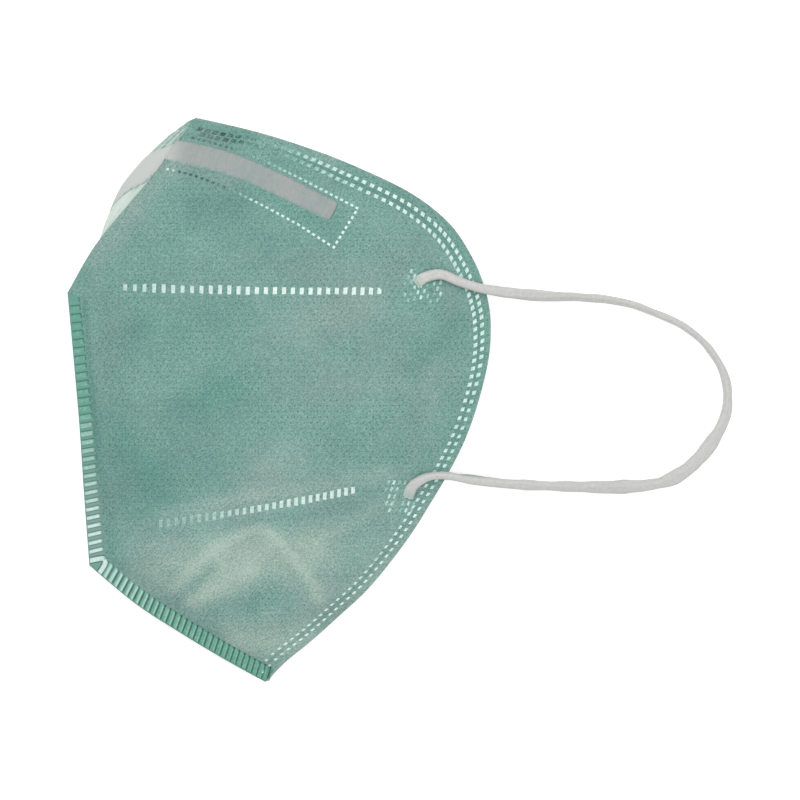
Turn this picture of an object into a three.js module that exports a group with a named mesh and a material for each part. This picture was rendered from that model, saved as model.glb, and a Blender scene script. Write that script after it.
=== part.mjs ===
// A flat-fold disposable respirator that lies on its right half, a little open, in millimetres, +Z up.
// The origin is the bottom centre of the facepiece. Its wearer would look towards -X, head towards +Y,
// so the face goes in from +X, the left half is on top and the right half rests on the ground.

import * as THREE from "three";

// Sizes of the sheet and of what is fixed to it.
const wallThickness = 1.1;
const seamThickness = 1.1;
const foldThickness = 0.4;
const wireWidth = 4;
const wireThickness = 0.9;
const loopDiameter = 2.8;

// The wire's clearance from the sheet, how much more it has over the nose fold, and the share of a leg
// from the fold in which that extra clearance fades.
const wireGap = 0.45;
const foldLift = 1;
const foldMargin = 0.06;

// How far the right half takes to turn down to the ground behind the seam, which way it bulges,
// and the share of its width at which its face edge starts to lift off the ground.
const turnLength = 20;
const bulgeDirection = new THREE.Vector2(-0.97, 0.24);
const liftStart = 0.6;

// Fineness of the faceted walls.
const rowsPerEdge = 14;
const columns = 15;
const tipTrim = 0.006;
const wireSteps = 24;
const loopSteps = 48;
const loopSides = 8;

// The folded outline, from the chin tip up: two welded seams, the open nose fold, and the face edge.
const chinSeam = [[-2.9, -76.9], [-14.5, -70.4], [-26.5, -63.2], [-39, -55.1], [-51.5, -45.2]];
const frontSeam = [[-51.5, -45.2], [-52.9, -25], [-54.5, -7], [-56.2, 11.5], [-57.8, 29.3]];
const noseFold = [[-57.8, 29.3], [-50.6, 41.8], [-41.6, 53.6], [-33.2, 62.8], [-27.8, 70.2], [-22.5, 77]];
const faceEdge = [
  [-2.9, -76.9], [4.6, -68.9], [16.5, -59], [27.8, -48.1], [37.4, -33.4], [47.3, -18.6],
  [54.6, -0.4], [57.8, 18.6], [54.4, 36.4], [43, 52], [24.5, 61.8], [3, 70.4], [-22.5, 77],
];

// Heights, one line for each station along the outline: at is 0 at the chin tip and 1 at the top corner.
// crease: seam or fold; arch: rise of the left half; near, far: the two face edges above the crease
// and the rest level; rest: underside of the right half; weld: seam width along a row;
// bulge: how far the right half shows past the nose fold; shift: how far it is drawn back under it.
const stations = [
  { at: 0.0, crease: 2.8, arch: 0.0, near: 0.4, far: 0.0, rest: 1.6, weld: 6.0, bulge: 0, shift: 0 },
  { at: 0.08, crease: 3.4, arch: 2.5, near: 3.2, far: 1.0, rest: 0.6, weld: 6.0, bulge: 0, shift: 0 },
  { at: 0.17, crease: 4.4, arch: 6.5, near: 7.0, far: 2.6, rest: 0.0, weld: 5.8, bulge: 0, shift: 0 },
  { at: 0.304, crease: 5.6, arch: 11.0, near: 11.0, far: 4.6, rest: 0.0, weld: 4.8, bulge: 0, shift: 0 },
  { at: 0.5, crease: 6.6, arch: 13.0, near: 13.5, far: 5.6, rest: 0.0, weld: 4.0, bulge: 0, shift: 0 },
  { at: 0.692, crease: 8.4, arch: 10.5, near: 12.5, far: 5.4, rest: 0.0, weld: 3.0, bulge: 0, shift: 0 },
  { at: 0.8, crease: 11.6, arch: 7.0, near: 9.0, far: 4.0, rest: 1.6, weld: 0.5, bulge: 9, shift: 9 },
  { at: 0.9, crease: 13.6, arch: 3.4, near: 5.2, far: 3.0, rest: 2.2, weld: 0.3, bulge: 13, shift: 15 },
  { at: 1.0, crease: 14.4, arch: 0.0, near: 0.5, far: 0.0, rest: 3.0, weld: 0.3, bulge: 4, shift: 15 },
];

// Soft folds and dents of the left half: a line on the sheet, its half width and its depth.
const folds = [
  { from: [-31, -54], to: [-3, -42], halfWidth: 3.4, depth: 1.3 },
  { from: [-5, -35], to: [13, -55], halfWidth: 3.6, depth: -1.2 },
  { from: [5, -42], to: [30, -34], halfWidth: 6.5, depth: 0.9 },
  { from: [-37, 44], to: [-16, 50], halfWidth: 7.0, depth: 0.9 },
  { from: [-44, -8], to: [-10, -3], halfWidth: 9.0, depth: 0.7 },
  { from: [-24, -66], to: [2, -58], halfWidth: 4.0, depth: -0.7 },
];

// The nose wire's left leg, from the fold to its end; the right leg mirrors it.
const wireRoute = [[-30.1, 67], [-21.5, 66.9], [-14.1, 64.6], [-5.1, 61.7], [4.7, 57.3], [13.4, 52]];

// Routes of the two elastic loops, from the upper weld round to the lower weld.
const leftLoopRoute = [
  [36.6, 31.6, 26.3], [40.2, 33.4, 25.7], [44.6, 33.9, 25.0], [49.4, 32.4, 24.3], [54.4, 30.7, 23.6],
  [60.6, 29.5, 22.0], [70.9, 28.6, 17.6], [82.9, 28.1, 11.6], [94.2, 26.8, 7.0], [103.8, 23.5, 4.9],
  [111.2, 19.5, 4.5], [117.2, 14.2, 4.5], [121.2, 7.6, 4.5], [122.6, 1.1, 4.5], [121.5, -5.4, 4.5],
  [117.8, -12.2, 4.5], [111.5, -18.5, 4.5], [104.1, -22.1, 4.8], [94.0, -23.5, 6.4], [82.0, -23.7, 9.8],
  [70.0, -23.3, 14.2], [60.4, -22.7, 17.6], [52.0, -21.8, 19.5], [46.0, -20.6, 20.3], [40.8, -20.9, 21.0],
  [36.8, -23.2, 21.2], [35.0, -26.6, 20.6],
];
const rightLoopRoute = [
  [35.4, 32.4, 1.6], [42.0, 33.2, 1.5], [50.0, 31.6, 1.4], [60.6, 29.7, 1.4], [71.5, 28.4, 1.4],
  [83.0, 28.0, 1.4], [94.2, 26.7, 1.4], [103.8, 23.5, 1.4], [111.2, 19.5, 1.4], [117.2, 14.2, 1.4],
  [121.2, 7.6, 1.4], [122.6, 1.1, 1.4], [121.5, -5.4, 1.4], [117.8, -12.2, 1.4], [111.5, -18.5, 1.4],
  [104.1, -22.1, 1.4], [94.0, -23.5, 1.4], [82.0, -23.8, 1.4], [70.0, -23.4, 1.4], [60.4, -22.8, 1.4],
  [50.0, -21.3, 1.4], [42.0, -21.2, 1.5], [34.4, -25.4, 1.7],
];

const fabric = new THREE.MeshStandardMaterial({ color: 0x7fae9f, roughness: 0.85, metalness: 0 });
const strip = new THREE.MeshStandardMaterial({ color: 0xa3aba8, roughness: 0.7, metalness: 0 });
const elastic = new THREE.MeshStandardMaterial({ color: 0xd6d6d0, roughness: 0.9, metalness: 0 });

const flatPoints = (table) => table.map(([x, y]) => new THREE.Vector2(x, y));
const spacePoints = (table) => table.map(([x, y, z]) => new THREE.Vector3(x, y, z));

const leftOutline = new THREE.CurvePath();
for (const edge of [chinSeam, frontSeam, noseFold]) {
  leftOutline.add(new THREE.SplineCurve(flatPoints(edge)));
}
const rightOutline = new THREE.SplineCurve(flatPoints(faceEdge));

// One column of the stations table at any place along the outline, as a smooth curve through its rows.
function station(column, at) {
  const last = stations.length - 1;
  let i = 0;
  while (i < last - 1 && at > stations[i + 1].at) i += 1;
  const slope = (k) => {
    const a = stations[Math.max(k - 1, 0)];
    const b = stations[Math.min(k + 1, last)];
    return (b[column] - a[column]) / (b.at - a.at);
  };
  const span = stations[i + 1].at - stations[i].at;
  const t = THREE.MathUtils.clamp((at - stations[i].at) / span, 0, 1);
  const rise = stations[i + 1][column] - stations[i][column];
  const ease = t * t * (3 - 2 * t);
  const lead = t * (1 - t) * (1 - t) * slope(i) * span;
  const tail = t * t * (1 - t) * slope(i + 1) * span;
  return stations[i][column] + rise * ease + lead - tail;
}

// A row runs across the sheet from the seam or fold to the face edge.
function row(at) {
  const start = leftOutline.getPoint(at);
  const end = rightOutline.getPointAt(at);
  const width = start.distanceTo(end);
  const direction = end.clone().sub(start).normalize();
  const weld = Math.min(station("weld", at), 0.6 * width);
  const pressed = THREE.MathUtils.clamp(seamThickness * weld / 3, foldThickness, seamThickness);
  return { at, start, width, direction, weld, pressed };
}

// Depth of the folds at a place on the sheet.
function foldDepth(place) {
  let depth = 0;
  for (const fold of folds) {
    const line = new THREE.Line3(new THREE.Vector3(...fold.from, 0), new THREE.Vector3(...fold.to, 0));
    const point = new THREE.Vector3(place.x, place.y, 0);
    const nearest = line.closestPointToPoint(point, true, new THREE.Vector3());
    const offset = nearest.distanceTo(point) / fold.halfWidth;
    depth += fold.depth * Math.exp(-offset * offset);
  }
  return depth;
}

// Outer surface of the left half, on top; across is 0 at the seam and 1 at the face edge.
function leftHalf(r, across) {
  const place = r.start.clone().addScaledVector(r.direction, across * r.width);
  const open = Math.max(0, (across * r.width - r.weld) / (r.width - r.weld));
  const arch = station("arch", r.at) * Math.sin(Math.PI * open ** 0.8);
  const lean = station("near", r.at) * open;
  const calm = Math.min(1, 6 * open) * Math.min(1, 6 * (1 - open));
  const z = station("crease", r.at) + r.pressed / 2 + arch + lean - calm * foldDepth(place);
  return new THREE.Vector3(place.x, place.y, z);
}

// Outer surface of the right half, which turns under from the seam and rests on the ground.
function rightHalf(r, across) {
  const beyond = across * r.width - r.weld;
  const turned = THREE.MathUtils.clamp(beyond / turnLength, 0, 1);
  const bulge = Math.max(0, station("bulge", r.at)) * Math.sin(Math.PI * turned) * (1 - turned);
  const shift = Math.max(0, station("shift", r.at));
  const drawn = across * r.width - shift * THREE.MathUtils.smoothstep(turned, 0, 1);
  const place = r.start.clone().addScaledVector(r.direction, drawn);
  place.addScaledVector(bulgeDirection, bulge);
  const seamLevel = station("crease", r.at) - r.pressed / 2;
  const rest = Math.max(0, station("rest", r.at));
  const drop = (seamLevel - rest) * (1 - Math.cos(Math.PI * turned)) / 2;
  const lift = station("far", r.at) * THREE.MathUtils.smoothstep(across, liftStart, 1);
  return new THREE.Vector3(place.x, place.y, seamLevel - drop + lift);
}

// Unit vector that points out of a half, by small steps along and across the sheet.
function outward(half, at, across) {
  const step = 0.002;
  const a = THREE.MathUtils.clamp(across, step, 1 - step);
  const v = THREE.MathUtils.clamp(at, 2 * step, 1 - 2 * step);
  const along = half(row(v + step), a).sub(half(row(v - step), a));
  const over = half(row(v), a + step).sub(half(row(v), a - step));
  const normal = over.cross(along).normalize();
  return half === leftHalf ? normal : normal.negate();
}

// Station and fraction across of the place (x, y) on the flat plan of the sheet.
function locate(x, y) {
  let low = 0;
  let high = 1;
  for (let i = 0; i < 30; i += 1) {
    const middle = (low + high) / 2;
    const r = row(middle);
    const above = r.direction.x * (y - r.start.y) - r.direction.y * (x - r.start.x);
    if (above > 0) low = middle;
    else high = middle;
  }
  const r = row(low);
  const across = (x - r.start.x) * r.direction.x + (y - r.start.y) * r.direction.y;
  return { at: low, across: across / r.width };
}

// A solid from closed rings of points that all have the same count, with a given pattern for its ends.
function loft(rings, endFaces) {
  const count = rings[0].length;
  const positions = rings.flat().flatMap((p) => [p.x, p.y, p.z]);
  const faces = [];
  for (let i = 0; i < rings.length - 1; i += 1) {
    for (let k = 0; k < count; k += 1) {
      const a = i * count + k;
      const b = i * count + (k + 1) % count;
      faces.push(a, b + count, b, a, a + count, b + count);
    }
  }
  const last = (rings.length - 1) * count;
  for (const [a, b, c] of endFaces) {
    faces.push(a, b, c, last + a, last + c, last + b);
  }
  const geometry = new THREE.BufferGeometry();
  geometry.setAttribute("position", new THREE.Float32BufferAttribute(positions, 3));
  geometry.setIndex(faces);
  geometry.computeVertexNormals();
  return geometry;
}

// One closed ring of the facepiece: out and back over both halves, outside first.
function facepieceRing(at) {
  const r = row(at);
  const weldShare = r.weld / r.width;
  const shares = [0];
  for (let k = 0; k < columns; k += 1) {
    shares.push(weldShare + (1 - weldShare) * (k / (columns - 1)) ** 1.3);
  }
  const outerLeft = shares.map((a) => leftHalf(r, a));
  const outerRight = shares.map((a) => rightHalf(r, a));
  const inset = (half, outer, k) => {
    const depth = Math.min(wallThickness, 0.45 * outerLeft[k].distanceTo(outerRight[k]));
    return outer[k].clone().addScaledVector(outward(half, at, shares[k]), -depth);
  };
  const innerLeft = [];
  const innerRight = [];
  for (let k = 2; k <= columns; k += 1) {
    innerLeft.push(inset(leftHalf, outerLeft, k));
    innerRight.push(inset(rightHalf, outerRight, k));
  }
  const apex = inset(leftHalf, outerLeft, 1).add(inset(rightHalf, outerRight, 1)).multiplyScalar(0.5);
  return [...outerLeft.reverse(), ...outerRight, ...innerRight.reverse(), apex, ...innerLeft];
}

// Triangles that close a ring of the facepiece at the chin tip and at the top corner.
function facepieceEnd() {
  const outer = columns + 1;
  const apex = 2 * outer + columns - 1;
  const leftOuter = (k) => columns - k;
  const rightOuter = (k) => outer + k;
  const rightInner = (k) => apex - (k - 1);
  const leftInner = (k) => apex + (k - 1);
  const faces = [];
  for (let k = 2; k < columns; k += 1) {
    faces.push([leftOuter(k + 1), leftOuter(k), leftInner(k)]);
    faces.push([leftOuter(k + 1), leftInner(k), leftInner(k + 1)]);
    faces.push([rightOuter(k), rightOuter(k + 1), rightInner(k + 1)]);
    faces.push([rightOuter(k), rightInner(k + 1), rightInner(k)]);
  }
  const tip = [2, 1, 0].map(leftOuter).concat([0, 1, 2].map(rightOuter));
  tip.unshift(leftInner(2));
  tip.push(rightInner(2));
  for (let k = 0; k < tip.length - 1; k += 1) {
    faces.push([apex, tip[k], tip[k + 1]]);
  }
  return faces;
}

function makeFacepiece() {
  const lengths = leftOutline.getCurveLengths();
  const corners = [tipTrim, lengths[0] / lengths[2], lengths[1] / lengths[2], 1 - tipTrim];
  const spacing = [(t) => t ** 1.3, (t) => t, (t) => 1 - (1 - t) ** 1.6];
  const rings = [];
  for (let i = 0; i < spacing.length; i += 1) {
    for (let k = 0; k < rowsPerEdge; k += 1) {
      const share = spacing[i](k / rowsPerEdge);
      rings.push(facepieceRing(THREE.MathUtils.lerp(corners[i], corners[i + 1], share)));
    }
  }
  rings.push(facepieceRing(1 - tipTrim));
  return loft(rings, facepieceEnd());
}

// The wire lies a hair off the sheet, from the end of its right leg over the fold to its left end.
function makeNoseWire() {
  const route = new THREE.SplineCurve(flatPoints(wireRoute));
  const stops = [];
  for (let i = wireSteps; i >= 0; i -= 1) stops.push({ half: rightHalf, share: i / wireSteps });
  for (let i = 1; i <= wireSteps; i += 1) stops.push({ half: leftHalf, share: i / wireSteps });
  const path = stops.map(({ half, share }) => {
    const plan = route.getPointAt(share ** 1.3);
    const { at, across } = locate(plan.x, plan.y);
    const normal = outward(half, at, Math.max(across, foldMargin));
    if (share === 0) normal.add(outward(leftHalf, at, foldMargin)).normalize();
    const lift = wireGap + wireThickness / 2 + foldLift * Math.exp(-((share / foldMargin) ** 2));
    return { centre: half(row(at), Math.max(across, 0)).addScaledVector(normal, lift), normal };
  });
  const rings = path.map(({ centre, normal }, i) => {
    const ahead = path[Math.min(i + 1, path.length - 1)].centre;
    const behind = path[Math.max(i - 1, 0)].centre;
    const forward = ahead.clone().sub(behind).normalize();
    const side = forward.clone().cross(normal).normalize();
    const up = side.clone().cross(forward).normalize();
    const corner = (s, u) => centre.clone()
      .addScaledVector(side, s * wireWidth / 2)
      .addScaledVector(up, u * wireThickness / 2);
    return [corner(1, -1), corner(1, 1), corner(-1, 1), corner(-1, -1)];
  });
  return loft(rings, [[0, 1, 2], [0, 2, 3]]);
}

function makeEarLoop(route) {
  const section = new THREE.Shape();
  for (let k = 0; k < loopSides; k += 1) {
    const angle = 2 * Math.PI * (k + 0.5) / loopSides;
    const point = [Math.cos(angle) * loopDiameter / 2, Math.sin(angle) * loopDiameter / 2];
    if (k === 0) section.moveTo(...point);
    else section.lineTo(...point);
  }
  section.closePath();
  const path = new THREE.CatmullRomCurve3(spacePoints(route), false, "centripetal");
  return new THREE.ExtrudeGeometry(section, { steps: loopSteps, bevelEnabled: false, extrudePath: path });
}

function addPart(group, name, geometry, material) {
  const mesh = new THREE.Mesh(geometry, material);
  mesh.name = name;
  group.add(mesh);
}

const respirator = new THREE.Group();
addPart(respirator, "facepiece", makeFacepiece(), fabric);
addPart(respirator, "nose_wire", makeNoseWire(), strip);
addPart(respirator, "ear_loop_left", makeEarLoop(leftLoopRoute), elastic);
addPart(respirator, "ear_loop_right", makeEarLoop(rightLoopRoute), elastic);

export default respirator;
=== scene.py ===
import math
import bpy
import numpy as np
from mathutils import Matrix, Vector


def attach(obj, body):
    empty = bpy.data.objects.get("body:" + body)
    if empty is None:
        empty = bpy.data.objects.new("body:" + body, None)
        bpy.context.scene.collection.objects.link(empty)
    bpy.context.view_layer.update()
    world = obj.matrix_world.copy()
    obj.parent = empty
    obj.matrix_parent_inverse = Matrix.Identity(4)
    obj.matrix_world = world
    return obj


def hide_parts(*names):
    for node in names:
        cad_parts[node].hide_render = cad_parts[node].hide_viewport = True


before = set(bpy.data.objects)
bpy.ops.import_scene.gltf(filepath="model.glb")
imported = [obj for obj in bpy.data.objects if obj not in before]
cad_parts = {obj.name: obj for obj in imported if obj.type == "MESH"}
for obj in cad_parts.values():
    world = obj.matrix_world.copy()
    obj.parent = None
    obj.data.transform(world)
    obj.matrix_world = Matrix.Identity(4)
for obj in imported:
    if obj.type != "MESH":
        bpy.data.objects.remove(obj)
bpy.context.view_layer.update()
print("frame loaded")

mm = 0.001

# Camera, light and floor.
stageSetup = {
    "viewWidth": 0.2184,      # what the camera sees of the floor's plane
    "cameraHeight": 2.6,
    "lookAt": (0.0331, 0.0, 0.0),
    "meanHeight": 0.012,      # the level at which the view is exactly that wide
    "floorSize": 3.0,
    "floorLevel": -0.0002,    # just under the object
    "floorColour": (0.62, 0.62, 0.62),
    "floorGlow": 0.6,
    "skyStrength": 0.44,
}


def makeCamera(setup):
    data = bpy.data.cameras.new("camera")
    distance = setup["cameraHeight"] - setup["meanHeight"]
    data.sensor_width = 36
    data.lens = data.sensor_width * distance / setup["viewWidth"]
    data.clip_start = 0.05
    data.clip_end = 20
    camera = bpy.data.objects.new("camera", data)
    camera.location = (setup["lookAt"][0], setup["lookAt"][1], setup["cameraHeight"])
    bpy.context.scene.collection.objects.link(camera)
    bpy.context.scene.camera = camera


lamps = [
    {"name": "key", "place": (-0.55, 0.5, 0.95), "size": 0.6, "power": 6.6},
    {"name": "fill", "place": (0.75, -0.25, 0.9), "size": 0.9, "power": 4.4},
    {"name": "top", "place": (0.05, 0.0, 1.5), "size": 1.0, "power": 3.6},
]


def makeLamp(lamp):
    data = bpy.data.lights.new(lamp["name"], "AREA")
    data.shape = "DISK"
    data.size = lamp["size"]
    data.energy = lamp["power"]
    light = bpy.data.objects.new(lamp["name"], data)
    light.location = lamp["place"]
    toCentre = Vector((0.03, 0, 0)) - Vector(lamp["place"])
    light.rotation_euler = toCentre.to_track_quat("-Z", "Y").to_euler()
    bpy.context.scene.collection.objects.link(light)


def makeStage(setup):
    half = setup["floorSize"] / 2
    mesh = bpy.data.meshes.new("floor")
    level = setup["floorLevel"]
    corners = [(-half, -half, level), (half, -half, level), (half, half, level), (-half, half, level)]
    mesh.from_pydata(corners, [], [(0, 1, 2, 3)])
    floor = bpy.data.objects.new("floor", mesh)
    bpy.context.scene.collection.objects.link(floor)
    material = bpy.data.materials.new("floorPaper")
    material.use_nodes = True
    shader = material.node_tree.nodes["Principled BSDF"]
    shader.inputs["Base Color"].default_value = (*setup["floorColour"], 1)
    shader.inputs["Roughness"].default_value = 0.9
    shader.inputs["Emission Color"].default_value = (1, 1, 1, 1)
    shader.inputs["Emission Strength"].default_value = setup["floorGlow"]
    mesh.materials.append(material)
    world = bpy.data.worlds.new("studio")
    world.use_nodes = True
    world.node_tree.nodes["Background"].inputs["Color"].default_value = (1, 1, 1, 1)
    world.node_tree.nodes["Background"].inputs["Strength"].default_value = setup["skyStrength"]
    bpy.context.scene.world = world
    bpy.context.scene.view_settings.view_transform = "Standard"


makeCamera(stageSetup)
makeStage(stageSetup)
for lamp in lamps:
    makeLamp(lamp)
print("camera, lamps and floor made")


# Curves and the folded sheet's form.
def splinePoints(table, perSpan=40):          # an even curve through every point of a table
    points = np.array(table, float)
    padded = np.vstack([points[:1], points, points[-1:]])
    t = np.linspace(0, 1, perSpan, endpoint=False)[:, None]
    spans = []
    for i in range(len(points) - 1):
        before, a, b, after = padded[i:i + 4]
        leave, arrive = (b - before) / 2, (after - a) / 2
        spans.append((2 * a - 2 * b + leave + arrive) * t ** 3
                     + (-3 * a + 3 * b - 2 * leave - arrive) * t ** 2 + leave * t + a)
    return np.vstack(spans + [points[-1:]])


def walkedLength(points):
    steps = np.linalg.norm(np.diff(points, axis=0), axis=1)
    return np.concatenate([[0], np.cumsum(steps)])


def pointsAt(points, share):                  # share of the whole length, as an array
    walked = walkedLength(points)
    at = np.asarray(share) * walked[-1]
    return np.stack([np.interp(at, walked, points[:, k]) for k in range(points.shape[1])], axis=-1)


# The folded outline in millimetres, from the chin tip up.
chinSeam = [(-3.3, -77.5), (-14.9, -71.1), (-27, -63.8), (-39.4, -55.7), (-51.9, -45.3)]
frontSeam = [(-51.9, -45.3), (-53.4, -25), (-54.6, -7), (-56.2, 11.5), (-57.8, 29.3)]
noseFold = [(-57.8, 29.3), (-50.4, 41.9), (-40.9, 53.5), (-32.9, 62.8), (-27.8, 70.2), (-22.5, 77)]
faceEdge = [
    (-3.3, -77.5), (-1.2, -74.7), (1.9, -71.6), (8.9, -65.9), (16.4, -59.1), (23.8, -52.2), (30.3, -44.5),
    (36.3, -36.3), (41.7, -27.7), (46.8, -19), (51.2, -9.9), (54.8, 0.7), (57.3, 11.7), (57.8, 20.7),
    (57, 27.4), (55, 33.9), (52.1, 40), (47.8, 46.6), (42.2, 52), (34.7, 57.1), (24.6, 62), (12.1, 67.2),
    (-5, 72.8), (-22.5, 77),
]

# Heights of the sheet in millimetres at stations along the outline, 0 at the chin tip, 1 at the top corner.
stations = {
    "at":       (0.0, 0.08, 0.17, 0.304, 0.5, 0.692, 0.8, 0.9, 1.0),
    "crease":   (2.8, 3.4, 4.4, 5.6, 6.6, 8.4, 11.6, 13.6, 14.4),
    "arch":     (0.0, 2.5, 6.5, 11.0, 13.0, 10.5, 7.0, 3.4, 0.0),
    "nearEdge": (0.4, 3.2, 7.0, 11.0, 13.5, 12.5, 9.0, 5.2, 0.5),
    "farEdge":  (0.0, 1.0, 2.6, 4.6, 5.6, 5.4, 4.0, 3.0, 0.0),
    "rest":     (1.6, 0.6, 0.0, 0.0, 0.0, 0.0, 1.6, 2.2, 3.0),
    "weld":     (6.0, 6.0, 5.8, 4.8, 4.0, 3.0, 0.5, 0.3, 0.3),
    "bulge":    (0, 0, 0, 0, 0, 0, 9, 13, 4),
    "shift":    (0, 0, 0, 0, 0, 0, 9, 15, 15),
}

sheet = {
    "wall": 1.1,              # the layers together
    "edgeWall": 0.62,         # pressed thin along the face edge
    "seamThickness": 1.1,
    "foldThickness": 0.4,
    "turnLength": 20,
    "bulgeDirection": (-0.97, 0.24),
    "liftStart": 0.6,         # where across the far half its edge starts to lift off the table
    "rows": 300,
    "leftColumns": 150,
    "rightColumns": 84,
    "innerColumns": 34,
    "seed": 11,
}

leftOutline = np.vstack([splinePoints(chinSeam)[:-1], splinePoints(frontSeam)[:-1], splinePoints(noseFold)])
rightOutline = splinePoints(faceEdge)
cornerWalk = np.cumsum([walkedLength(splinePoints(edge))[-1] for edge in (chinSeam, frontSeam, noseFold)])
chinCorner, noseCorner = cornerWalk[0] / cornerWalk[2], cornerWalk[1] / cornerWalk[2]


def station(column, at):                      # a smooth curve through one column of the stations
    place = np.array(stations["at"])
    value = np.array(stations[column], float)
    last = len(place) - 1
    ahead, behind = np.minimum(np.arange(last + 1) + 1, last), np.maximum(np.arange(last + 1) - 1, 0)
    slope = (value[ahead] - value[behind]) / (place[ahead] - place[behind])
    at = np.asarray(at, float)
    i = np.clip(np.searchsorted(place, at, side="left") - 1, 0, last - 1)
    span = place[i + 1] - place[i]
    t = np.clip((at - place[i]) / span, 0, 1)
    rise = value[i + 1] - value[i]
    return (value[i] + rise * t * t * (3 - 2 * t)
            + t * (1 - t) ** 2 * slope[i] * span - t * t * (1 - t) * slope[i + 1] * span)


def rowEnds(at):
    return pointsAt(leftOutline, at), pointsAt(rightOutline, at)


def rowFrame(at):
    start, end = rowEnds(at)
    width = np.linalg.norm(end - start, axis=-1)
    direction = (end - start) / np.maximum(width, 1e-6)[..., None]
    weld = np.minimum(station("weld", at), 0.6 * width)
    pressed = np.clip(sheet["seamThickness"] * weld / 3, sheet["foldThickness"], sheet["seamThickness"])
    return start, direction, width, weld, pressed


def smoothStep(value, low, high):
    t = np.clip((value - low) / (high - low), 0, 1)
    return t * t * (3 - 2 * t)


def ripple(x, y, wavelength, seed, waves=9):  # soft uneven waves with no grain of their own
    draws = np.random.default_rng(seed)
    total = np.zeros_like(x)
    for _ in range(waves):
        turn, phase = draws.uniform(0, 2 * math.pi, 2)
        pace = 2 * math.pi / (wavelength * draws.uniform(0.7, 1.4))
        total += np.sin(pace * (x * math.cos(turn) + y * math.sin(turn)) + phase)
    return total / math.sqrt(waves)


def distanceToLine(x, y, start, end):
    start, end = np.array(start, float), np.array(end, float)
    along = end - start
    share = np.clip(((x - start[0]) * along[0] + (y - start[1]) * along[1]) / (along @ along), 0, 1)
    return np.hypot(x - start[0] - share * along[0], y - start[1] - share * along[1]), share


def distanceToPath(x, y, points):
    return np.min([distanceToLine(x, y, a, b)[0] for a, b in zip(points[:-1], points[1:])], axis=0)


# Folds and dents: two ends of a line on the flat sheet, half width and depth, all in millimetres.
folds = [
    {"from": (-28, -52), "to": (-8, -41), "halfWidth": 2.8, "depth": 0.35},
    {"from": (-5, -35), "to": (12, -55), "halfWidth": 3.4, "depth": -0.4},
    {"from": (5, -42), "to": (30, -34), "halfWidth": 6.5, "depth": 0.9},
    {"from": (-37, 44), "to": (-16, 50), "halfWidth": 7.0, "depth": 0.9},
    {"from": (-44, -8), "to": (-10, -3), "halfWidth": 9.0, "depth": 0.7},
    {"from": (-24, -66), "to": (2, -58), "halfWidth": 4.0, "depth": -0.7},
]


def foldDepth(x, y):
    depth = np.zeros_like(x)
    for fold in folds:
        offset, _ = distanceToLine(x, y, fold["from"], fold["to"])
        depth += fold["depth"] * np.exp(-(offset / fold["halfWidth"]) ** 2)
    return depth


def leftHalf(at, across, relief=True):        # outer face of the half on top
    start, direction, width, weld, pressed = rowFrame(at)
    plan = start + direction * (across * width)[..., None]
    opened = np.maximum(0, (across * width - weld) / (width - weld))
    eased = opened ** 2 * 1.03 / (opened + 0.03)
    arch = station("arch", at) * np.sin(math.pi * eased ** 0.85)
    lean = station("nearEdge", at) * opened
    calm = np.minimum(1, 6 * opened) * np.minimum(1, 6 * (1 - opened))
    height = station("crease", at) + pressed / 2 + arch + lean - calm * foldDepth(plan[..., 0], plan[..., 1])
    if relief:
        height = height + fineRelief(plan[..., 0], plan[..., 1], opened, width)
    return np.concatenate([plan, height[..., None]], axis=-1)


def rightHalf(at, across):                    # outer face of the half underneath
    start, direction, width, weld, pressed = rowFrame(at)
    turned = np.clip((across * width - weld) / sheet["turnLength"], 0, 1)
    drawn = across * width - np.maximum(0, station("shift", at)) * smoothStep(turned, 0, 1)
    bulge = np.maximum(0, station("bulge", at)) * np.sin(math.pi * turned) * (1 - turned)
    plan = start + direction * drawn[..., None] + np.array(sheet["bulgeDirection"]) * bulge[..., None]
    seamLevel = station("crease", at) - pressed / 2
    rest = np.maximum(0, station("rest", at))
    height = seamLevel - (seamLevel - rest) * (1 - np.cos(math.pi * turned)) / 2
    height = height + station("farEdge", at) * smoothStep(across, sheet["liftStart"], 1)
    return np.concatenate([plan, height[..., None]], axis=-1)


reliefSetup = {
    "billow": (24.0, 0.38),   # wavelength and height of the slow unevenness
    "crumple": (8.5, 0.11),
    "pinch": 0.32,            # how deep a weld row draws the layers in
    "pinchWidth": 1.9,
}

# The two straight rows of upright bars: first and last bar, and how many; gleam is a painted reflection, by
# share along the row.
barRows = [
    {"from": (-41.8, 30.7), "to": (27.5, 29.55), "count": 29, "size": (1.26, 2.8), "lean": (0.0, 0.07),
     "sag": 0.3, "ease": 0.08,
     "gleam": [(0, 0.5), (0.12, 0.62), (0.24, 0.62), (0.57, 0.84), (1, 0.83)]},
    {"from": (-32.1, -33.7), "to": (20.3, -24.5), "count": 27, "size": (1.14, 2.6), "lean": (0.0, 0.04),
     "sag": 0.42, "ease": 0.06,
     "gleam": [(0, 0.24), (0.16, 0.25), (0.4, 0.44), (0.6, 0.68), (1, 0.77)]},
]

# The small dots that close in the nose wire: from the fold, round its end and back to the fold.
pocketUpper = [(-25.4, 72), (-18.1, 70), (-11.2, 68.1), (-2.7, 64.5), (5.7, 60.4), (14.3, 55.9), (21.4, 52.2)]
pocketEnd = [(21.8, 52.3), (15.1, 41.5)]
pocketLower = [(14.8, 41.6), (5.2, 47.8), (-3.3, 52.4), (-11.8, 56.7), (-17.6, 59.1), (-23.3, 61.2),
               (-28.7, 62.6), (-31.6, 63.2)]


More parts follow.
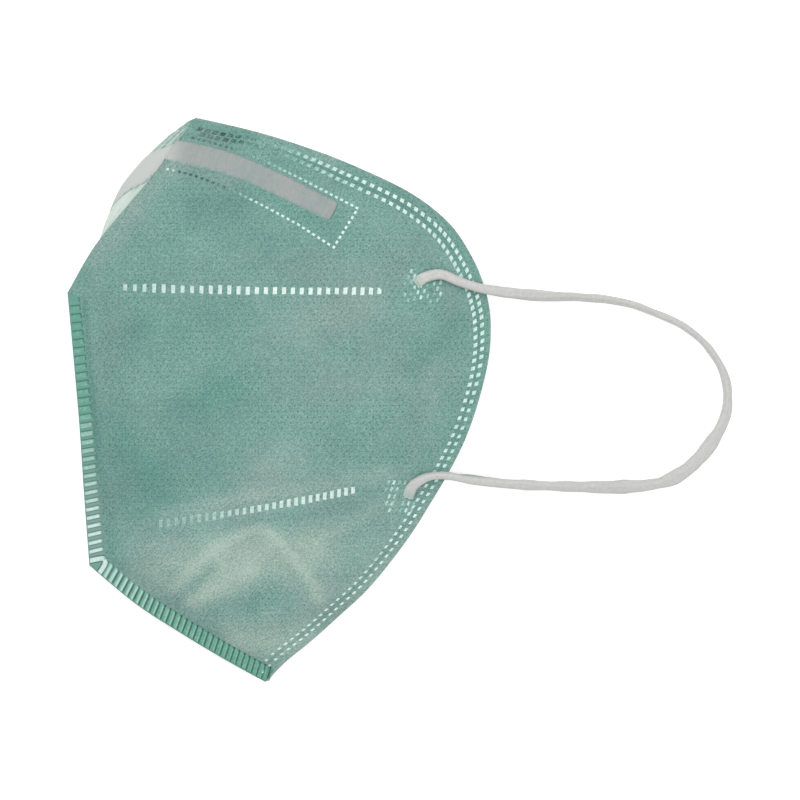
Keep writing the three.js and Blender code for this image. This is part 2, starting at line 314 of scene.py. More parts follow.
def fineRelief(x, y, opened, width):
    calm = smoothStep(opened * width, 0.5, 7) * smoothStep((1 - opened) * width, 0, 3)
    total = reliefSetup["billow"][1] * ripple(x, y, reliefSetup["billow"][0], sheet["seed"])
    total = total + reliefSetup["crumple"][1] * ripple(x, y, reliefSetup["crumple"][0], sheet["seed"] + 1)
    for bars in barRows:
        offset, _ = distanceToLine(x, y, bars["from"], bars["to"])
        total = total - reliefSetup["pinch"] * np.exp(-(offset / reliefSetup["pinchWidth"]) ** 2)
    for line in (pocketUpper, pocketEnd, pocketLower):
        for a, b in zip(line[:-1], line[1:]):
            offset, share = distanceToLine(x, y, a, b)
            total = total - 0.12 * np.exp(-(offset / 0.9) ** 2) * np.where((share > 0) & (share < 1), 1, 0.3)
    return total * calm


def locate(x, y):                             # station and share across of a place on the flat sheet
    x, y = np.asarray(x, float), np.asarray(y, float)
    low, high = np.zeros_like(x), np.ones_like(x)
    for _ in range(30):
        middle = (low + high) / 2
        start, direction, width, weld, pressed = rowFrame(middle)
        above = direction[..., 0] * (y - start[..., 1]) - direction[..., 1] * (x - start[..., 0]) > 0
        low, high = np.where(above, middle, low), np.where(above, high, middle)
    start, direction, width, weld, pressed = rowFrame(low)
    across = (x - start[..., 0]) * direction[..., 0] + (y - start[..., 1]) * direction[..., 1]
    return low, across / np.maximum(width, 1e-6)


def smoothTable(table, share):               # a rounded curve through a table of share and value
    table = np.array(table, float)
    fine = splinePoints(table)
    return np.interp(share, fine[:, 0], fine[:, 1])


def unit(vectors):
    return vectors / np.maximum(np.linalg.norm(vectors, axis=-1, keepdims=True), 1e-9)


def outward(half, at, across):
    step = 0.002
    over = half(at, np.clip(across + step, 0, 1)) - half(at, np.clip(across - step, 0, 1))
    along = half(np.clip(at + step, 0, 1), across) - half(np.clip(at - step, 0, 1), across)
    normal = unit(np.cross(over, along))
    return normal if half is leftHalf else -normal


# Meshes and node trees.
def makeMesh(name, vertices, faces, uvs=None):
    mesh = bpy.data.meshes.new(name)
    mesh.from_pydata([tuple(v) for v in np.asarray(vertices) * mm], [], faces)
    mesh.validate()
    if uvs:
        corner = np.zeros(len(mesh.loops), np.int32)
        mesh.loops.foreach_get("vertex_index", corner)
        for uvName, values in uvs.items():
            layer = mesh.uv_layers.new(name=uvName)
            layer.data.foreach_set("uv", np.asarray(values, np.float32)[corner].ravel())
    mesh.polygons.foreach_set("use_smooth", [True] * len(mesh.polygons))
    piece = bpy.data.objects.new(name, mesh)
    bpy.context.scene.collection.objects.link(piece)
    return piece


def addValues(piece, name, values):           # one number for each vertex, for the materials
    attribute = piece.data.attributes.new(name, "FLOAT", "POINT")
    attribute.data.foreach_set("value", np.asarray(values, np.float32))


def gridFaces(rows, columns, closed=False):   # quads between rows of points
    faces = []
    for i in range(rows - 1):
        for k in range(columns if closed else columns - 1):
            a, b = i * columns + k, i * columns + (k + 1) % columns
            faces.append((a, a + columns, b + columns, b))
    return faces


class nodeTree:                               # short words for building a node tree
    def __init__(self, tree):
        self.tree = tree
        self.nodes = tree.nodes

    def add(self, kind, inputs=None, **settings):
        node = self.nodes.new(kind)
        for key, value in settings.items():
            setattr(node, key, value)
        for key, value in (inputs or {}).items():
            self.feed(node.inputs[key], value)
        return node

    def feed(self, socket, value):
        if isinstance(value, bpy.types.NodeSocket):
            self.tree.links.new(value, socket)
        elif value is not None:
            socket.default_value = value

    def math(self, operation, a, b=None, clamp=False):
        node = self.add("ShaderNodeMath", {0: a, 1: b}, operation=operation, use_clamp=clamp)
        return node.outputs[0]

    def vector(self, operation, a, b=None):
        node = self.add("ShaderNodeVectorMath", {0: a, 1: b}, operation=operation)
        return node.outputs[0]

    def mixColour(self, share, a, b, blend="MIX"):
        node = self.add("ShaderNodeMix", data_type="RGBA", blend_type=blend)
        for key, value in ((0, share), (6, a), (7, b)):
            self.feed(node.inputs[key], value)
        return node.outputs[2]

    def mapRange(self, value, fromLow, fromHigh, toLow, toHigh, style="LINEAR"):
        node = self.add("ShaderNodeMapRange", {0: value, 1: fromLow, 2: fromHigh, 3: toLow, 4: toHigh},
                        interpolation_type=style)
        return node.outputs[0]

    def noise(self, vector, scale, detail=2.0, roughness=0.5, distortion=0.0):
        node = self.add("ShaderNodeTexNoise", {"Vector": vector, "Scale": scale, "Detail": detail,
                                               "Roughness": roughness, "Distortion": distortion})
        return node.outputs[0]


def newGroup(name, inputs, outputs):
    tree = bpy.data.node_groups.new(name, "ShaderNodeTree")
    for socketName, kind, value in inputs:
        socket = tree.interface.new_socket(name=socketName, in_out="INPUT", socket_type=kind)
        if value is not None:
            socket.default_value = value
    for socketName, kind in outputs:
        tree.interface.new_socket(name=socketName, in_out="OUTPUT", socket_type=kind)
    build = nodeTree(tree)
    return build, build.add("NodeGroupInput"), build.add("NodeGroupOutput")


def colour(red, green, blue):                 # screen colour of 0 to 255 as the shader's own
    channels = []
    for value in (red, green, blue):
        value /= 255
        channels.append(value / 12.92 if value <= 0.04045 else ((value + 0.055) / 1.055) ** 2.4)
    return (*channels, 1)


# Shared finishes.
clothSetup = {
    "bondPitch": (1.78, 3.1),  # staggered points that hold the web together
    "bondSize": 0.23,
    "fibreSize": (1.15, 0.17),
    "cloudSize": 16.0,
}


def makeClothGroup(setup):                    # spunbond web: clouds, fibres and bond points
    build, given, result = newGroup(
        "spunbondWeb",
        [("Plan", "NodeSocketVector", None)],
        [("Clouds", "NodeSocketFloat"), ("Fibres", "NodeSocketFloat"), ("Bonds", "NodeSocketFloat")])
    plan = given.outputs["Plan"]
    pitchX, pitchY = setup["bondPitch"]
    scaled = build.vector("MULTIPLY", plan, (1 / pitchX, 1 / pitchY, 0))
    dots = []
    for offset in ((0, 0, 0), (0.5, 0.5, 0)):
        moved = build.vector("ADD", scaled, offset)
        cell = build.vector("FRACTION", moved)
        centred = build.vector("SUBTRACT", cell, (0.5, 0.5, 0))
        flat = build.vector("MULTIPLY", centred, (pitchX, pitchY, 0))
        away = build.add("ShaderNodeVectorMath", {0: flat}, operation="LENGTH").outputs["Value"]
        size = setup["bondSize"]
        dots.append(build.mapRange(away, size * 0.6, size * 1.4, 1, 0, "SMOOTHSTEP"))
    clusters = build.mapRange(build.noise(plan, 0.11, 2.0, 0.5), 0.4, 0.6, 0.3, 1)
    bonds = build.math("MULTIPLY", build.math("MAXIMUM", dots[0], dots[1]), clusters)
    large = build.noise(plan, 1 / setup["cloudSize"], 3.0, 0.6, 0.4)
    small = build.noise(plan, 3.2 / setup["cloudSize"], 2.0, 0.5, 0.2)
    clouds = build.math("ADD", build.math("MULTIPLY", large, 0.75), build.math("MULTIPLY", small, 0.25))
    fibres, gaps = None, None
    long, wide = setup["fibreSize"]
    for turn in (-0.2, -0.55, -0.85, -1.15):
        rotated = build.add("ShaderNodeVectorRotate", {"Vector": plan, "Angle": turn}, rotation_type="Z_AXIS")
        drawn = build.vector("MULTIPLY", rotated.outputs[0], (1 / long, 1 / wide, 1))
        strand = build.noise(drawn, 1.0, 2.0, 0.55, 0.8)
        fibres = strand if fibres is None else build.math("MAXIMUM", fibres, strand)
        gaps = strand if gaps is None else build.math("MINIMUM", gaps, strand)
    fibres = build.math("MULTIPLY", build.math("ADD", fibres, gaps), 0.5)
    build.feed(result.inputs["Clouds"], clouds)
    build.feed(result.inputs["Fibres"], fibres)
    build.feed(result.inputs["Bonds"], bonds)
    return build.tree


clothGroup = makeClothGroup(clothSetup)


def newMaterial(name, roughness, sheen=0.0):
    material = bpy.data.materials.new(name)
    material.use_nodes = True
    build = nodeTree(material.node_tree)
    shader = build.nodes["Principled BSDF"]
    shader.inputs["Roughness"].default_value = roughness
    shader.inputs["Sheen Weight"].default_value = sheen
    shader.inputs["Specular IOR Level"].default_value = 0.35
    return material, build, shader


def readUv(build, name):
    return build.add("ShaderNodeUVMap", uv_map=name).outputs[0]


def readValue(build, name):
    return build.add("ShaderNodeAttribute", attribute_type="GEOMETRY", attribute_name=name).outputs["Fac"]


def addBump(build, shader, height, strength, distance):
    bump = build.add("ShaderNodeBump", {"Strength": strength, "Distance": distance, "Height": height})
    build.feed(shader.inputs["Normal"], bump.outputs[0])


outerCloth = {
    "deep": colour(74, 119, 112),
    "middle": colour(113, 153, 145),
    "pale": colour(174, 194, 183),
    "white": colour(226, 232, 228),
    "bond": colour(62, 102, 94),
    "teal": colour(90, 148, 135),
    "blush": colour(140, 156, 150),
}


def makeOuterCloth(setup):
    material, build, shader = newMaterial("outerCloth", 0.82, 0.12)
    plan = readUv(build, "plan")
    web = build.add("ShaderNodeGroup")
    web.node_tree = clothGroup
    build.feed(web.inputs["Plan"], plan)
    clouds, fibres, bonds = (web.outputs[k] for k in ("Clouds", "Fibres", "Bonds"))
    shadeAndTone, tint = readValue(build, "shadeAndTone"), readValue(build, "tint")
    drift = build.noise(plan, 0.06, 3.0, 0.55, 0.2)
    hue = build.math("ADD", tint, build.mapRange(drift, 0.35, 0.65, -0.25, 0.25))
    base = build.mixColour(build.math("MULTIPLY", hue, 1.0, clamp=True), setup["middle"], setup["teal"])
    base = build.mixColour(build.math("MULTIPLY", hue, -1.0, clamp=True), base, setup["blush"])
    # the value read above carries painted light and shade as well as uneven tone: it lightens towards pale
    # and darkens towards deep
    depth = build.math("ADD", shadeAndTone, build.mapRange(clouds, 0.3, 0.7, -0.27, 0.19))
    depth = build.math("ADD", depth, build.mapRange(fibres, 0.38, 0.62, -0.56, 0.58))
    grain = build.noise(plan, 2.3, 1.0, 0.5, 0.6)
    depth = build.math("ADD", depth, build.mapRange(grain, 0.35, 0.65, -0.3, 0.34))
    base = build.mixColour(build.math("MULTIPLY", depth, -1.0, clamp=True), base, setup["deep"])
    lifted = build.math("MULTIPLY", depth, build.mapRange(shadeAndTone, 0.0, 0.35, 0.75, 1.0), clamp=True)
    base = build.mixColour(lifted, base, setup["pale"])
    seen = build.mapRange(shadeAndTone, 0.0, 0.4, 0.68, 0.15)       # the points hardly show where the cloth is pale
    base = build.mixColour(build.math("MULTIPLY", bonds, seen), base, setup["bond"])
    # painted light: where that value runs highest, on the sliver of the half underneath, the cloth is painted
    # near white
    base = build.mixColour(build.mapRange(shadeAndTone, 0.8, 1.8, 0, 1), base, setup["white"])
    build.feed(shader.inputs["Base Color"], base)
    height = build.math("SUBTRACT", build.math("MULTIPLY", fibres, 0.5), build.math("MULTIPLY", bonds, 0.5))
    addBump(build, shader, height, 0.4, 0.0001)
    return material


def makeInnerCloth():
    material, build, shader = newMaterial("innerCloth", 0.85, 0.1)
    web = build.add("ShaderNodeGroup")
    web.node_tree = clothGroup
    build.feed(web.inputs["Plan"], readUv(build, "plan"))
    base = build.mixColour(build.mapRange(web.outputs["Clouds"], 0.3, 0.7, 0, 1),
                           colour(222, 226, 222), colour(240, 242, 239))
    base = build.mixColour(build.math("MULTIPLY", web.outputs["Bonds"], 0.25), base, colour(190, 200, 196))
    build.feed(shader.inputs["Base Color"], base)
    addBump(build, shader, build.math("SUBTRACT", web.outputs["Fibres"], web.outputs["Bonds"]), 0.3, 0.0001)
    return material


# The film's colour by its gleam, a painted reflection: dark at the low end where the glossy film would mirror
# shade, near white at the high end where it would mirror a lamp.
weldFilm = {
    "mint": [(0.0, (30, 76, 66)), (0.35, (108, 152, 142)), (0.65, (160, 203, 192)), (1.0, (222, 245, 238))],
    "grey": [(0.0, (122, 162, 152)), (1.0, (222, 240, 233))],
    # painted shade on the sloped sides of every mark, which draws dark outlines round it
    "flankShading": colour(72, 118, 106),
}


def makeWeldFilm(setup):                      # cloth that was melted clear and glossy
    material, build, shader = newMaterial("weldFilm", 0.34)
    place = build.add("ShaderNodeTexCoord").outputs["Object"]
    flaw = build.noise(build.vector("MULTIPLY", place, (1000, 1000, 1000)), 1.6, 2.0, 0.5)
    uneven = build.mapRange(flaw, 0.35, 0.65, -0.13, 0.13)
    # the gleam attribute paints each mark's reflection
    share = build.math("ADD", readValue(build, "gleam"), uneven, clamp=True)
    ramps = []
    for name in ("mint", "grey"):
        base = build.add("ShaderNodeValToRGB", {0: share})
        stops = base.color_ramp.elements
        for position, tint in setup[name][1:-1]:
            stops.new(position)
        for stop, (position, tint) in zip(stops, setup[name]):
            stop.position, stop.color = position, colour(*tint)
        ramps.append(base.outputs[0])
    film = build.mixColour(readValue(build, "grey"), *ramps)
    # painted shade: the sides of each mark are darkened
    flankShading = build.math("MULTIPLY", readValue(build, "flankShading"), 0.75)
    build.feed(shader.inputs["Base Color"], build.mixColour(flankShading, film, setup["flankShading"]))
    addBump(build, shader, flaw, 0.4, 0.00012)
    return material


outerClothMaterial = makeOuterCloth(outerCloth)
innerClothMaterial = makeInnerCloth()
weldFilmMaterial = makeWeldFilm(weldFilm)


# Ear loops.
loopSetup = {
    "declared": 3.0,
    "flat": 1.7,              # thickness where the band lies at its widest
    "step": 0.25,
    "sides": 24,
    "ribPitch": 0.62,
    "ribDepth": 0.012,
    "wales": 7,
}
leftLoopRoute = [
    (37.2, 31.5, 26.3), (39.9, 33.3, 25.7), (44.2, 34.1, 25.0), (49.4, 32.1, 24.3), (55.2, 30.3, 23.5),
    (61.6, 29.3, 21.7), (70.9, 28.6, 17.6), (82.9, 28.1, 11.6), (94.2, 26.8, 7.0), (103.8, 23.5, 4.9),
    (111.4, 19.8, 4.5), (117.5, 14.4, 4.5), (121.6, 7.7, 4.5), (122.9, 1.1, 4.5), (121.8, -5.5, 4.5),
    (117.9, -12.4, 4.5), (111.8, -19.0, 4.5), (104.3, -22.7, 4.8), (94.0, -23.8, 6.4), (82.0, -23.7, 9.8),
    (70.0, -23.3, 14.2), (60.4, -22.7, 17.6), (52.0, -21.8, 19.5), (46.0, -20.6, 20.3), (40.8, -20.9, 21.0),
    (36.8, -23.2, 21.2), (35.0, -26.6, 20.6),
]
rightLoopRoute = [
    (35.4, 32.4, 1.6), (42.0, 33.2, 1.5), (50.0, 31.6, 1.4), (60.6, 29.7, 1.4), (71.5, 28.4, 1.4),
    (83.0, 28.0, 1.4), (94.2, 26.7, 1.4), (103.8, 23.5, 1.4), (111.4, 19.8, 1.4), (117.5, 14.4, 1.4),
    (121.6, 7.7, 1.4), (122.9, 1.1, 1.4), (121.8, -5.5, 1.4), (117.9, -12.4, 1.4), (111.8, -19.0, 1.4),
    (104.3, -22.7, 1.4), (94.0, -23.8, 1.4), (82.0, -23.8, 1.4), (70.0, -23.4, 1.4), (60.4, -22.8, 1.4),
    (50.0, -21.3, 1.4), (42.0, -21.2, 1.5), (34.4, -25.4, 1.7),
]
# How wide the elastic lies by share of its length: the flat band turns and draws in.
loopWidths = [
    (0, 3.3), (0.025, 3.0), (0.055, 2.5), (0.1, 2.5), (0.13, 2.75), (0.17, 2.7), (0.2, 2.2), (0.22, 1.7),
    (0.26, 1.9), (0.3, 1.7), (0.335, 1.7), (0.36, 1.9), (0.41, 1.65), (0.427, 1.95), (0.45, 1.75),
    (0.474, 2.25), (0.495, 2.35), (0.53, 3.0), (0.545, 3.1), (0.56, 3.8), (0.575, 3.65), (0.59, 3.4),
    (0.61, 3.5), (0.626, 4.2), (0.645, 2.85), (0.66, 3.0), (0.68, 3.3), (0.7, 3.9), (0.73, 3.1),
    (0.76, 2.9), (0.8, 2.45), (0.83, 2.8), (0.86, 2.3), (0.88, 2.4), (0.9, 2.4), (0.92, 2.0), (0.957, 2.2),
    (1, 3.2),
]
# The way it leans about its own line, in degrees.
loopTwist = [
    (0, 8), (0.085, -4), (0.16, 14), (0.24, 26), (0.33, 12), (0.41, 16), (0.47, 24), (0.54, 4), (0.62, 10),
    (0.7, 22), (0.8, 14), (0.9, 2), (0.96, 16), (1, 4),
]


def makeElastic():
    material, build, shader = newMaterial("knittedElastic", 0.85, 0.25)
    along = readUv(build, "along")
    split = build.add("ShaderNodeSeparateXYZ", {0: along})
    rib = build.math("SINE", build.math("MULTIPLY", split.outputs[0], 2 * math.pi / loopSetup["ribPitch"]))
    wale = build.math("SINE", build.math("MULTIPLY", split.outputs[1], 2 * math.pi * loopSetup["wales"]))
    knit = build.math("MULTIPLY", build.math("ADD", rib, wale), 0.05)
    place = build.vector("MULTIPLY", build.add("ShaderNodeTexCoord").outputs["Object"], (1000, 1000, 1000))
    fuzz = build.noise(place, 1.1, 4.0, 0.7, 0.5)
    share = build.mapRange(build.math("ADD", knit, fuzz), 0.25, 0.75, 0, 1)
    base = build.mixColour(share, colour(185, 186, 183), colour(205, 205, 202))
    shaded = build.math("MULTIPLY", readValue(build, "shaded"), 0.08)
    base = build.mixColour(shaded, base, colour(172, 174, 171))
    fine = build.noise(place, 2.6, 2.0, 0.6)
    loose = build.math("MULTIPLY", readValue(build, "fray"), build.mapRange(fine, 0.4, 0.6, 0.25, 1.0))
    base = build.mixColour(loose, base, colour(142, 178, 166))
    build.feed(shader.inputs["Base Color"], base)
    addBump(build, shader, build.math("ADD", knit, fuzz), 0.35, 0.00025)
    return material


def makeLoop(name, route, setup):
    fine = splinePoints(route)
    length = walkedLength(fine)[-1]
    steps = int(length / setup["step"])
    share = np.linspace(0, 1, steps + 1)
    centre = pointsAt(fine, share)
    ends = np.minimum(share, 1 - share) * length
    width = smoothTable(loopWidths, share)[:, None]
    thickness = setup["flat"] + 0.45 * (4.2 - width)
    pressed = 0.3 + 0.7 * smoothStep(ends, 0.3, 6.0)[:, None]
    if name == "ear_loop_left":               # both ends lie down on the cloth
        at, across = locate(centre[:, 0], centre[:, 1])
        laid = leftHalf(at, np.clip(across, 0, 1))[:, 2] + (thickness * pressed)[:, 0] / 2 - 0.1
        laidShare = 1 - smoothStep(ends, 4, 10)
        centre[:, 2] += (laid - centre[:, 2]) * laidShare
    forward = unit(np.gradient(centre, axis=0))
    side = unit(np.cross(forward, np.array([0.0, 0.0, 1.0])))
    up = np.cross(side, forward)
    turn = np.radians(smoothTable(loopTwist, share) * smoothStep(ends, 3, 9))[:, None]
    flat = np.cos(turn) * side + np.sin(turn) * up
    thin = np.cos(turn) * up - np.sin(turn) * side
    walked = share * length
    angle = np.linspace(0, 2 * math.pi, setup["sides"], endpoint=False)
    rib = 1 + setup["ribDepth"] * 0.5 * np.sin(2 * math.pi * walked / setup["ribPitch"])[:, None]
    wobble = 1 + 0.05 * ripple(walked, np.zeros_like(walked), 9.0, sheet["seed"] + len(route))[:, None]
    cosine, sine = np.cos(angle), np.sin(angle)
    squareX = np.sign(cosine) * np.abs(cosine) ** 0.85 * width / 2
    squareY = np.sign(sine) * np.abs(sine) ** 0.85 * thickness / 2
    groove = 1 - 0.03 * np.cos(2 * angle * setup["wales"])
    loose = (1 - smoothStep(ends, 1, 4))[:, None]
    ragged = 1 + ripple(walked * 6, walked * 0, 5.0, sheet["seed"] + 3)[:, None] * 0.05 * loose
    x = squareX * groove * wobble * rib * ragged
    y = squareY * groove * wobble * rib * pressed
    rings = centre[:, None, :] + x[..., None] * flat[:, None, :] + y[..., None] * thin[:, None, :]
    torn = ripple(squareX * 2.2, squareX * 0, 3.0, sheet["seed"] + 5) * 0.16     # the cut ends are uneven
    torn = torn * (1 - smoothStep(ends, 0, 1.2))[:, None]
    rings = rings + forward[:, None, :] * torn[..., None]
    if name == "ear_loop_right":
        rings[..., 2] = np.maximum(rings[..., 2], 0.05)
    vertices = rings.reshape(-1, 3)
    sides = setup["sides"]
    faces = [face[::-1] for face in gridFaces(steps + 1, sides, closed=True)]
    uvs = np.stack([np.repeat(walked, sides), np.tile(np.arange(sides) / sides, steps + 1)], axis=-1)
    for ring, flip in ((0, True), (steps, False)):
        rim = [ring * sides + k for k in range(sides)]
        faces.append(tuple(reversed(rim)) if flip else tuple(rim))
    piece = makeMesh(name + "_knit", vertices, faces, {"along": uvs})
    piece.data.set_sharp_from_angle(angle=math.radians(60))
    addValues(piece, "fray", np.repeat(1 - smoothStep(ends, 0.2, 3.2), sides))
    shaded = smoothStep(share, 0.22, 0.42) * (1 - 0.35 * smoothStep(share, 0.62, 0.9))
    addValues(piece, "shaded", np.repeat(shaded, sides))
    piece.data.materials.append(elasticMaterial)
    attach(piece, "root")
    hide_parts(name)
    return piece


elasticMaterial = makeElastic()
leftLoop = makeLoop("ear_loop_left", leftLoopRoute, loopSetup)
rightLoop = makeLoop("ear_loop_right", rightLoopRoute, loopSetup)
print("ear loops knitted")


# Facepiece.
# The two rows of small welds along the face edge, by share of the edge from the chin tip.
edgeRows = {
    "margin": [(0, 2.5), (0.1, 2.1), (0.22, 1.9), (0.46, 1.85), (0.6, 2.9), (0.81, 3.05), (0.88, 2.3),
               (0.93, 2.1), (0.96, 2.9)],
    "apart": [(0, 1.6), (0.44, 1.7), (0.67, 2.3), (0.8, 2.15), (0.95, 1.3)],
    "long": [(0, 1.15), (0.5, 1.25), (0.9, 1.35), (0.94, 1.6)],
    "wide": [(0, 0.72), (0.28, 0.78), (0.45, 1.15), (1, 1.18)],
    "slant": [(0, 0.45), (0.4, 0.4), (0.55, 0.5), (0.68, 0.4), (0.8, -0.2), (1, -0.5)],
    # where the pitch changes: the number of a weld, and its way along the edge in millimetres
    "outerPlaces": [(-3, 2), (10, 30), (35, 87), (44, 110), (49, 121.3), (64, 152), (75, 178), (96, 223.4)],
    "innerPlaces": [(-3, 2.5), (10, 30), (34, 84), (39, 97), (50, 122.4), (60, 143), (66, 156.6), (75, 178.2),
                    (95, 222.4)],
    # gleam of each row, a painted reflection, by share of the edge
    "outerGleam": [(0.02, 0.8), (0.07, 0.96), (0.22, 0.94), (0.37, 0.74), (0.66, 0.83), (0.75, 0.9),
                   (0.84, 0.72), (0.93, 0.28), (0.96, 0.05)],
    "innerGleam": [(0.02, 0.84), (0.1, 0.93), (0.17, 0.8), (0.66, 0.79), (0.75, 0.83), (0.86, 0.52),
                   (0.93, 0.26), (0.96, 0.05)],
}


def tableValue(table, share):
    table = np.array(table, float)
    return np.interp(share, table[:, 0], table[:, 1])


# Soft places of the cloth, partly painted light and shade (light streaks along the folds and weld rows, a
# lighter lower part, shade lines beside the front seam and the nose strip) and partly uneven tone: reach, how
# much lighter, how much greener, and a line of points.
shadeAndToneMarks = [
    (7.5, -0.2, 0.45, [(-24, -2), (-14, 2)]),
    (7.5, -0.2, 0.4, [(-43, -12), (-33, -27)]),
    (8.0, -0.05, 0.35, [(-36, 18), (-16, 22)]),
    (6.0, 0.0, 0.35, [(-30, 46), (-34, 38)]),
    (5.5, -0.35, -0.1, [(-24, 54), (-12, 53)]),
    (6.0, -0.04, 0.1, [(16, -10), (30, -12)]),
    (3.5, -0.12, 0.25, [(36, 8), (48, 20)]),
    (4.5, -0.06, -0.3, [(8, 36), (30, 35)]),
    (8.0, -0.15, 0.1, [(-32, -18), (-14, -18)]),
    (6.5, 0.08, -0.35, [(6, 20), (24, 26)]),
    (6.0, 0.05, -0.25, [(14, 4), (40, 6)]),
    (6.0, 0.15, -0.3, [(-8, -22), (2, -16)]),
    (2.6, 0.26, -0.2, [(-33, -31), (30, -20)]),
    (1.4, -0.1, 0.0, [(-14, -35), (20, -29)]),
    (9.5, 0.42, -0.25, [(-33, -45), (8, -42)]),
    (1.5, 0.36, -0.1,
     [(-28.6, -51.3), (-22.9, -45.2), (-18.3, -41.2), (-11.5, -37.2), (-5.2, -34.5), (-1.3, -36.6),
              (4.4, -43.4), (8.5, -49), (11.3, -54.8)]),
    (4.0, 0.22, -0.1, [(-14, -43), (-3, -40)]),
    (1.5, -0.2, 0.1, [(-26.6, -54.3), (-17, -45.2)]),
    (2.9, 0.46, -0.1, [(-24, -54.8), (-8.1, -46.9)]),
    (5.5, 0.36, 0.0, [(-12, -66), (8, -67)]),
    (3.6, -0.02, 0.2, [(-11, -51), (-3, -51)]),
    (3.0, -0.2, 0.1, [(-8, -57), (-6, -55)]),
    (2.6, -0.25, 0.1, [(-1.5, -53), (2, -54)]),
    (2.6, 0.18, -0.2, [(7.3, -39.9), (31.4, -27.3)]),
    (10.0, 0.15, -0.16, [(-12, -68), (28, -48)]),
    (7.0, -0.14, 0.0, [(-12, 46), (2, 42)]),
    (3.0, -0.1, -0.6, [(-28, 63.5), (-12, 60)]),
    (3.0, -0.14, -0.5, [(-20, 72), (-10, 69)]),
    (4.0, 0.12, -0.3, [(-50, 41), (-40, 52), (-31, 63)]),
    (2.2, 0.2, -0.1, [(-4, 70), (14, 65)]),
    (6.5, -0.05, 0.4, [(-18, 66), (16, 48)]),
    (6.0, -0.24, 0.0, [(-54, -8), (-50, -44)]),
    (0.9, -0.38, 0.0, [(-53.3, 27), (-52.2, 14.5), (-51.2, 2), (-49.5, -20)]),
    (7.0, -0.18, -0.12, [(-44, -26), (-38, -42)]),
    (9.0, -0.1, 0.0, [(-40, 30), (-50, 0)]),
    (8.0, 0.1, -0.1, [(26, -44), (42, -28)]),
]


# painted light and shade together with uneven tone and tint, for each point of the cloth
def makeShadeAndTone(x, y, edgeDistance):
    shadeAndTone, tint = np.zeros_like(x), np.zeros_like(x)
    for reach, lighter, greener, line in shadeAndToneMarks:
        reached = np.exp(-(distanceToPath(x, y, line) / reach) ** 2)
        shadeAndTone += lighter * reached
        tint += greener * reached
    rim = np.exp(-(edgeDistance / 0.3) ** 2)
    high = smoothStep(x * 0.35 + y, -20, 10)
    margin = np.exp(-((edgeDistance - 1) / 4.5) ** 2) * high
    return shadeAndTone - 0.05 * margin, tint + 0.32 * margin * (1 - rim) - 1.2 * rim


def edgeMeasure(x, y):                        # distance from the face edge, and the way walked along it
    edge = pointsAt(rightOutline, np.linspace(0, 1, 900))
    walked = walkedLength(edge)
    flat = np.stack([x.ravel(), y.ravel()], axis=-1)
    nearest = np.empty(len(flat), int)
    distance = np.empty(len(flat))
    for start in range(0, len(flat), 4000):
        gap = np.linalg.norm(flat[start:start + 4000, None, :] - edge[None, :, :], axis=-1)
        nearest[start:start + 4000] = gap.argmin(axis=1)
        distance[start:start + 4000] = gap.min(axis=1)
    return distance.reshape(x.shape), walked[nearest].reshape(x.shape)


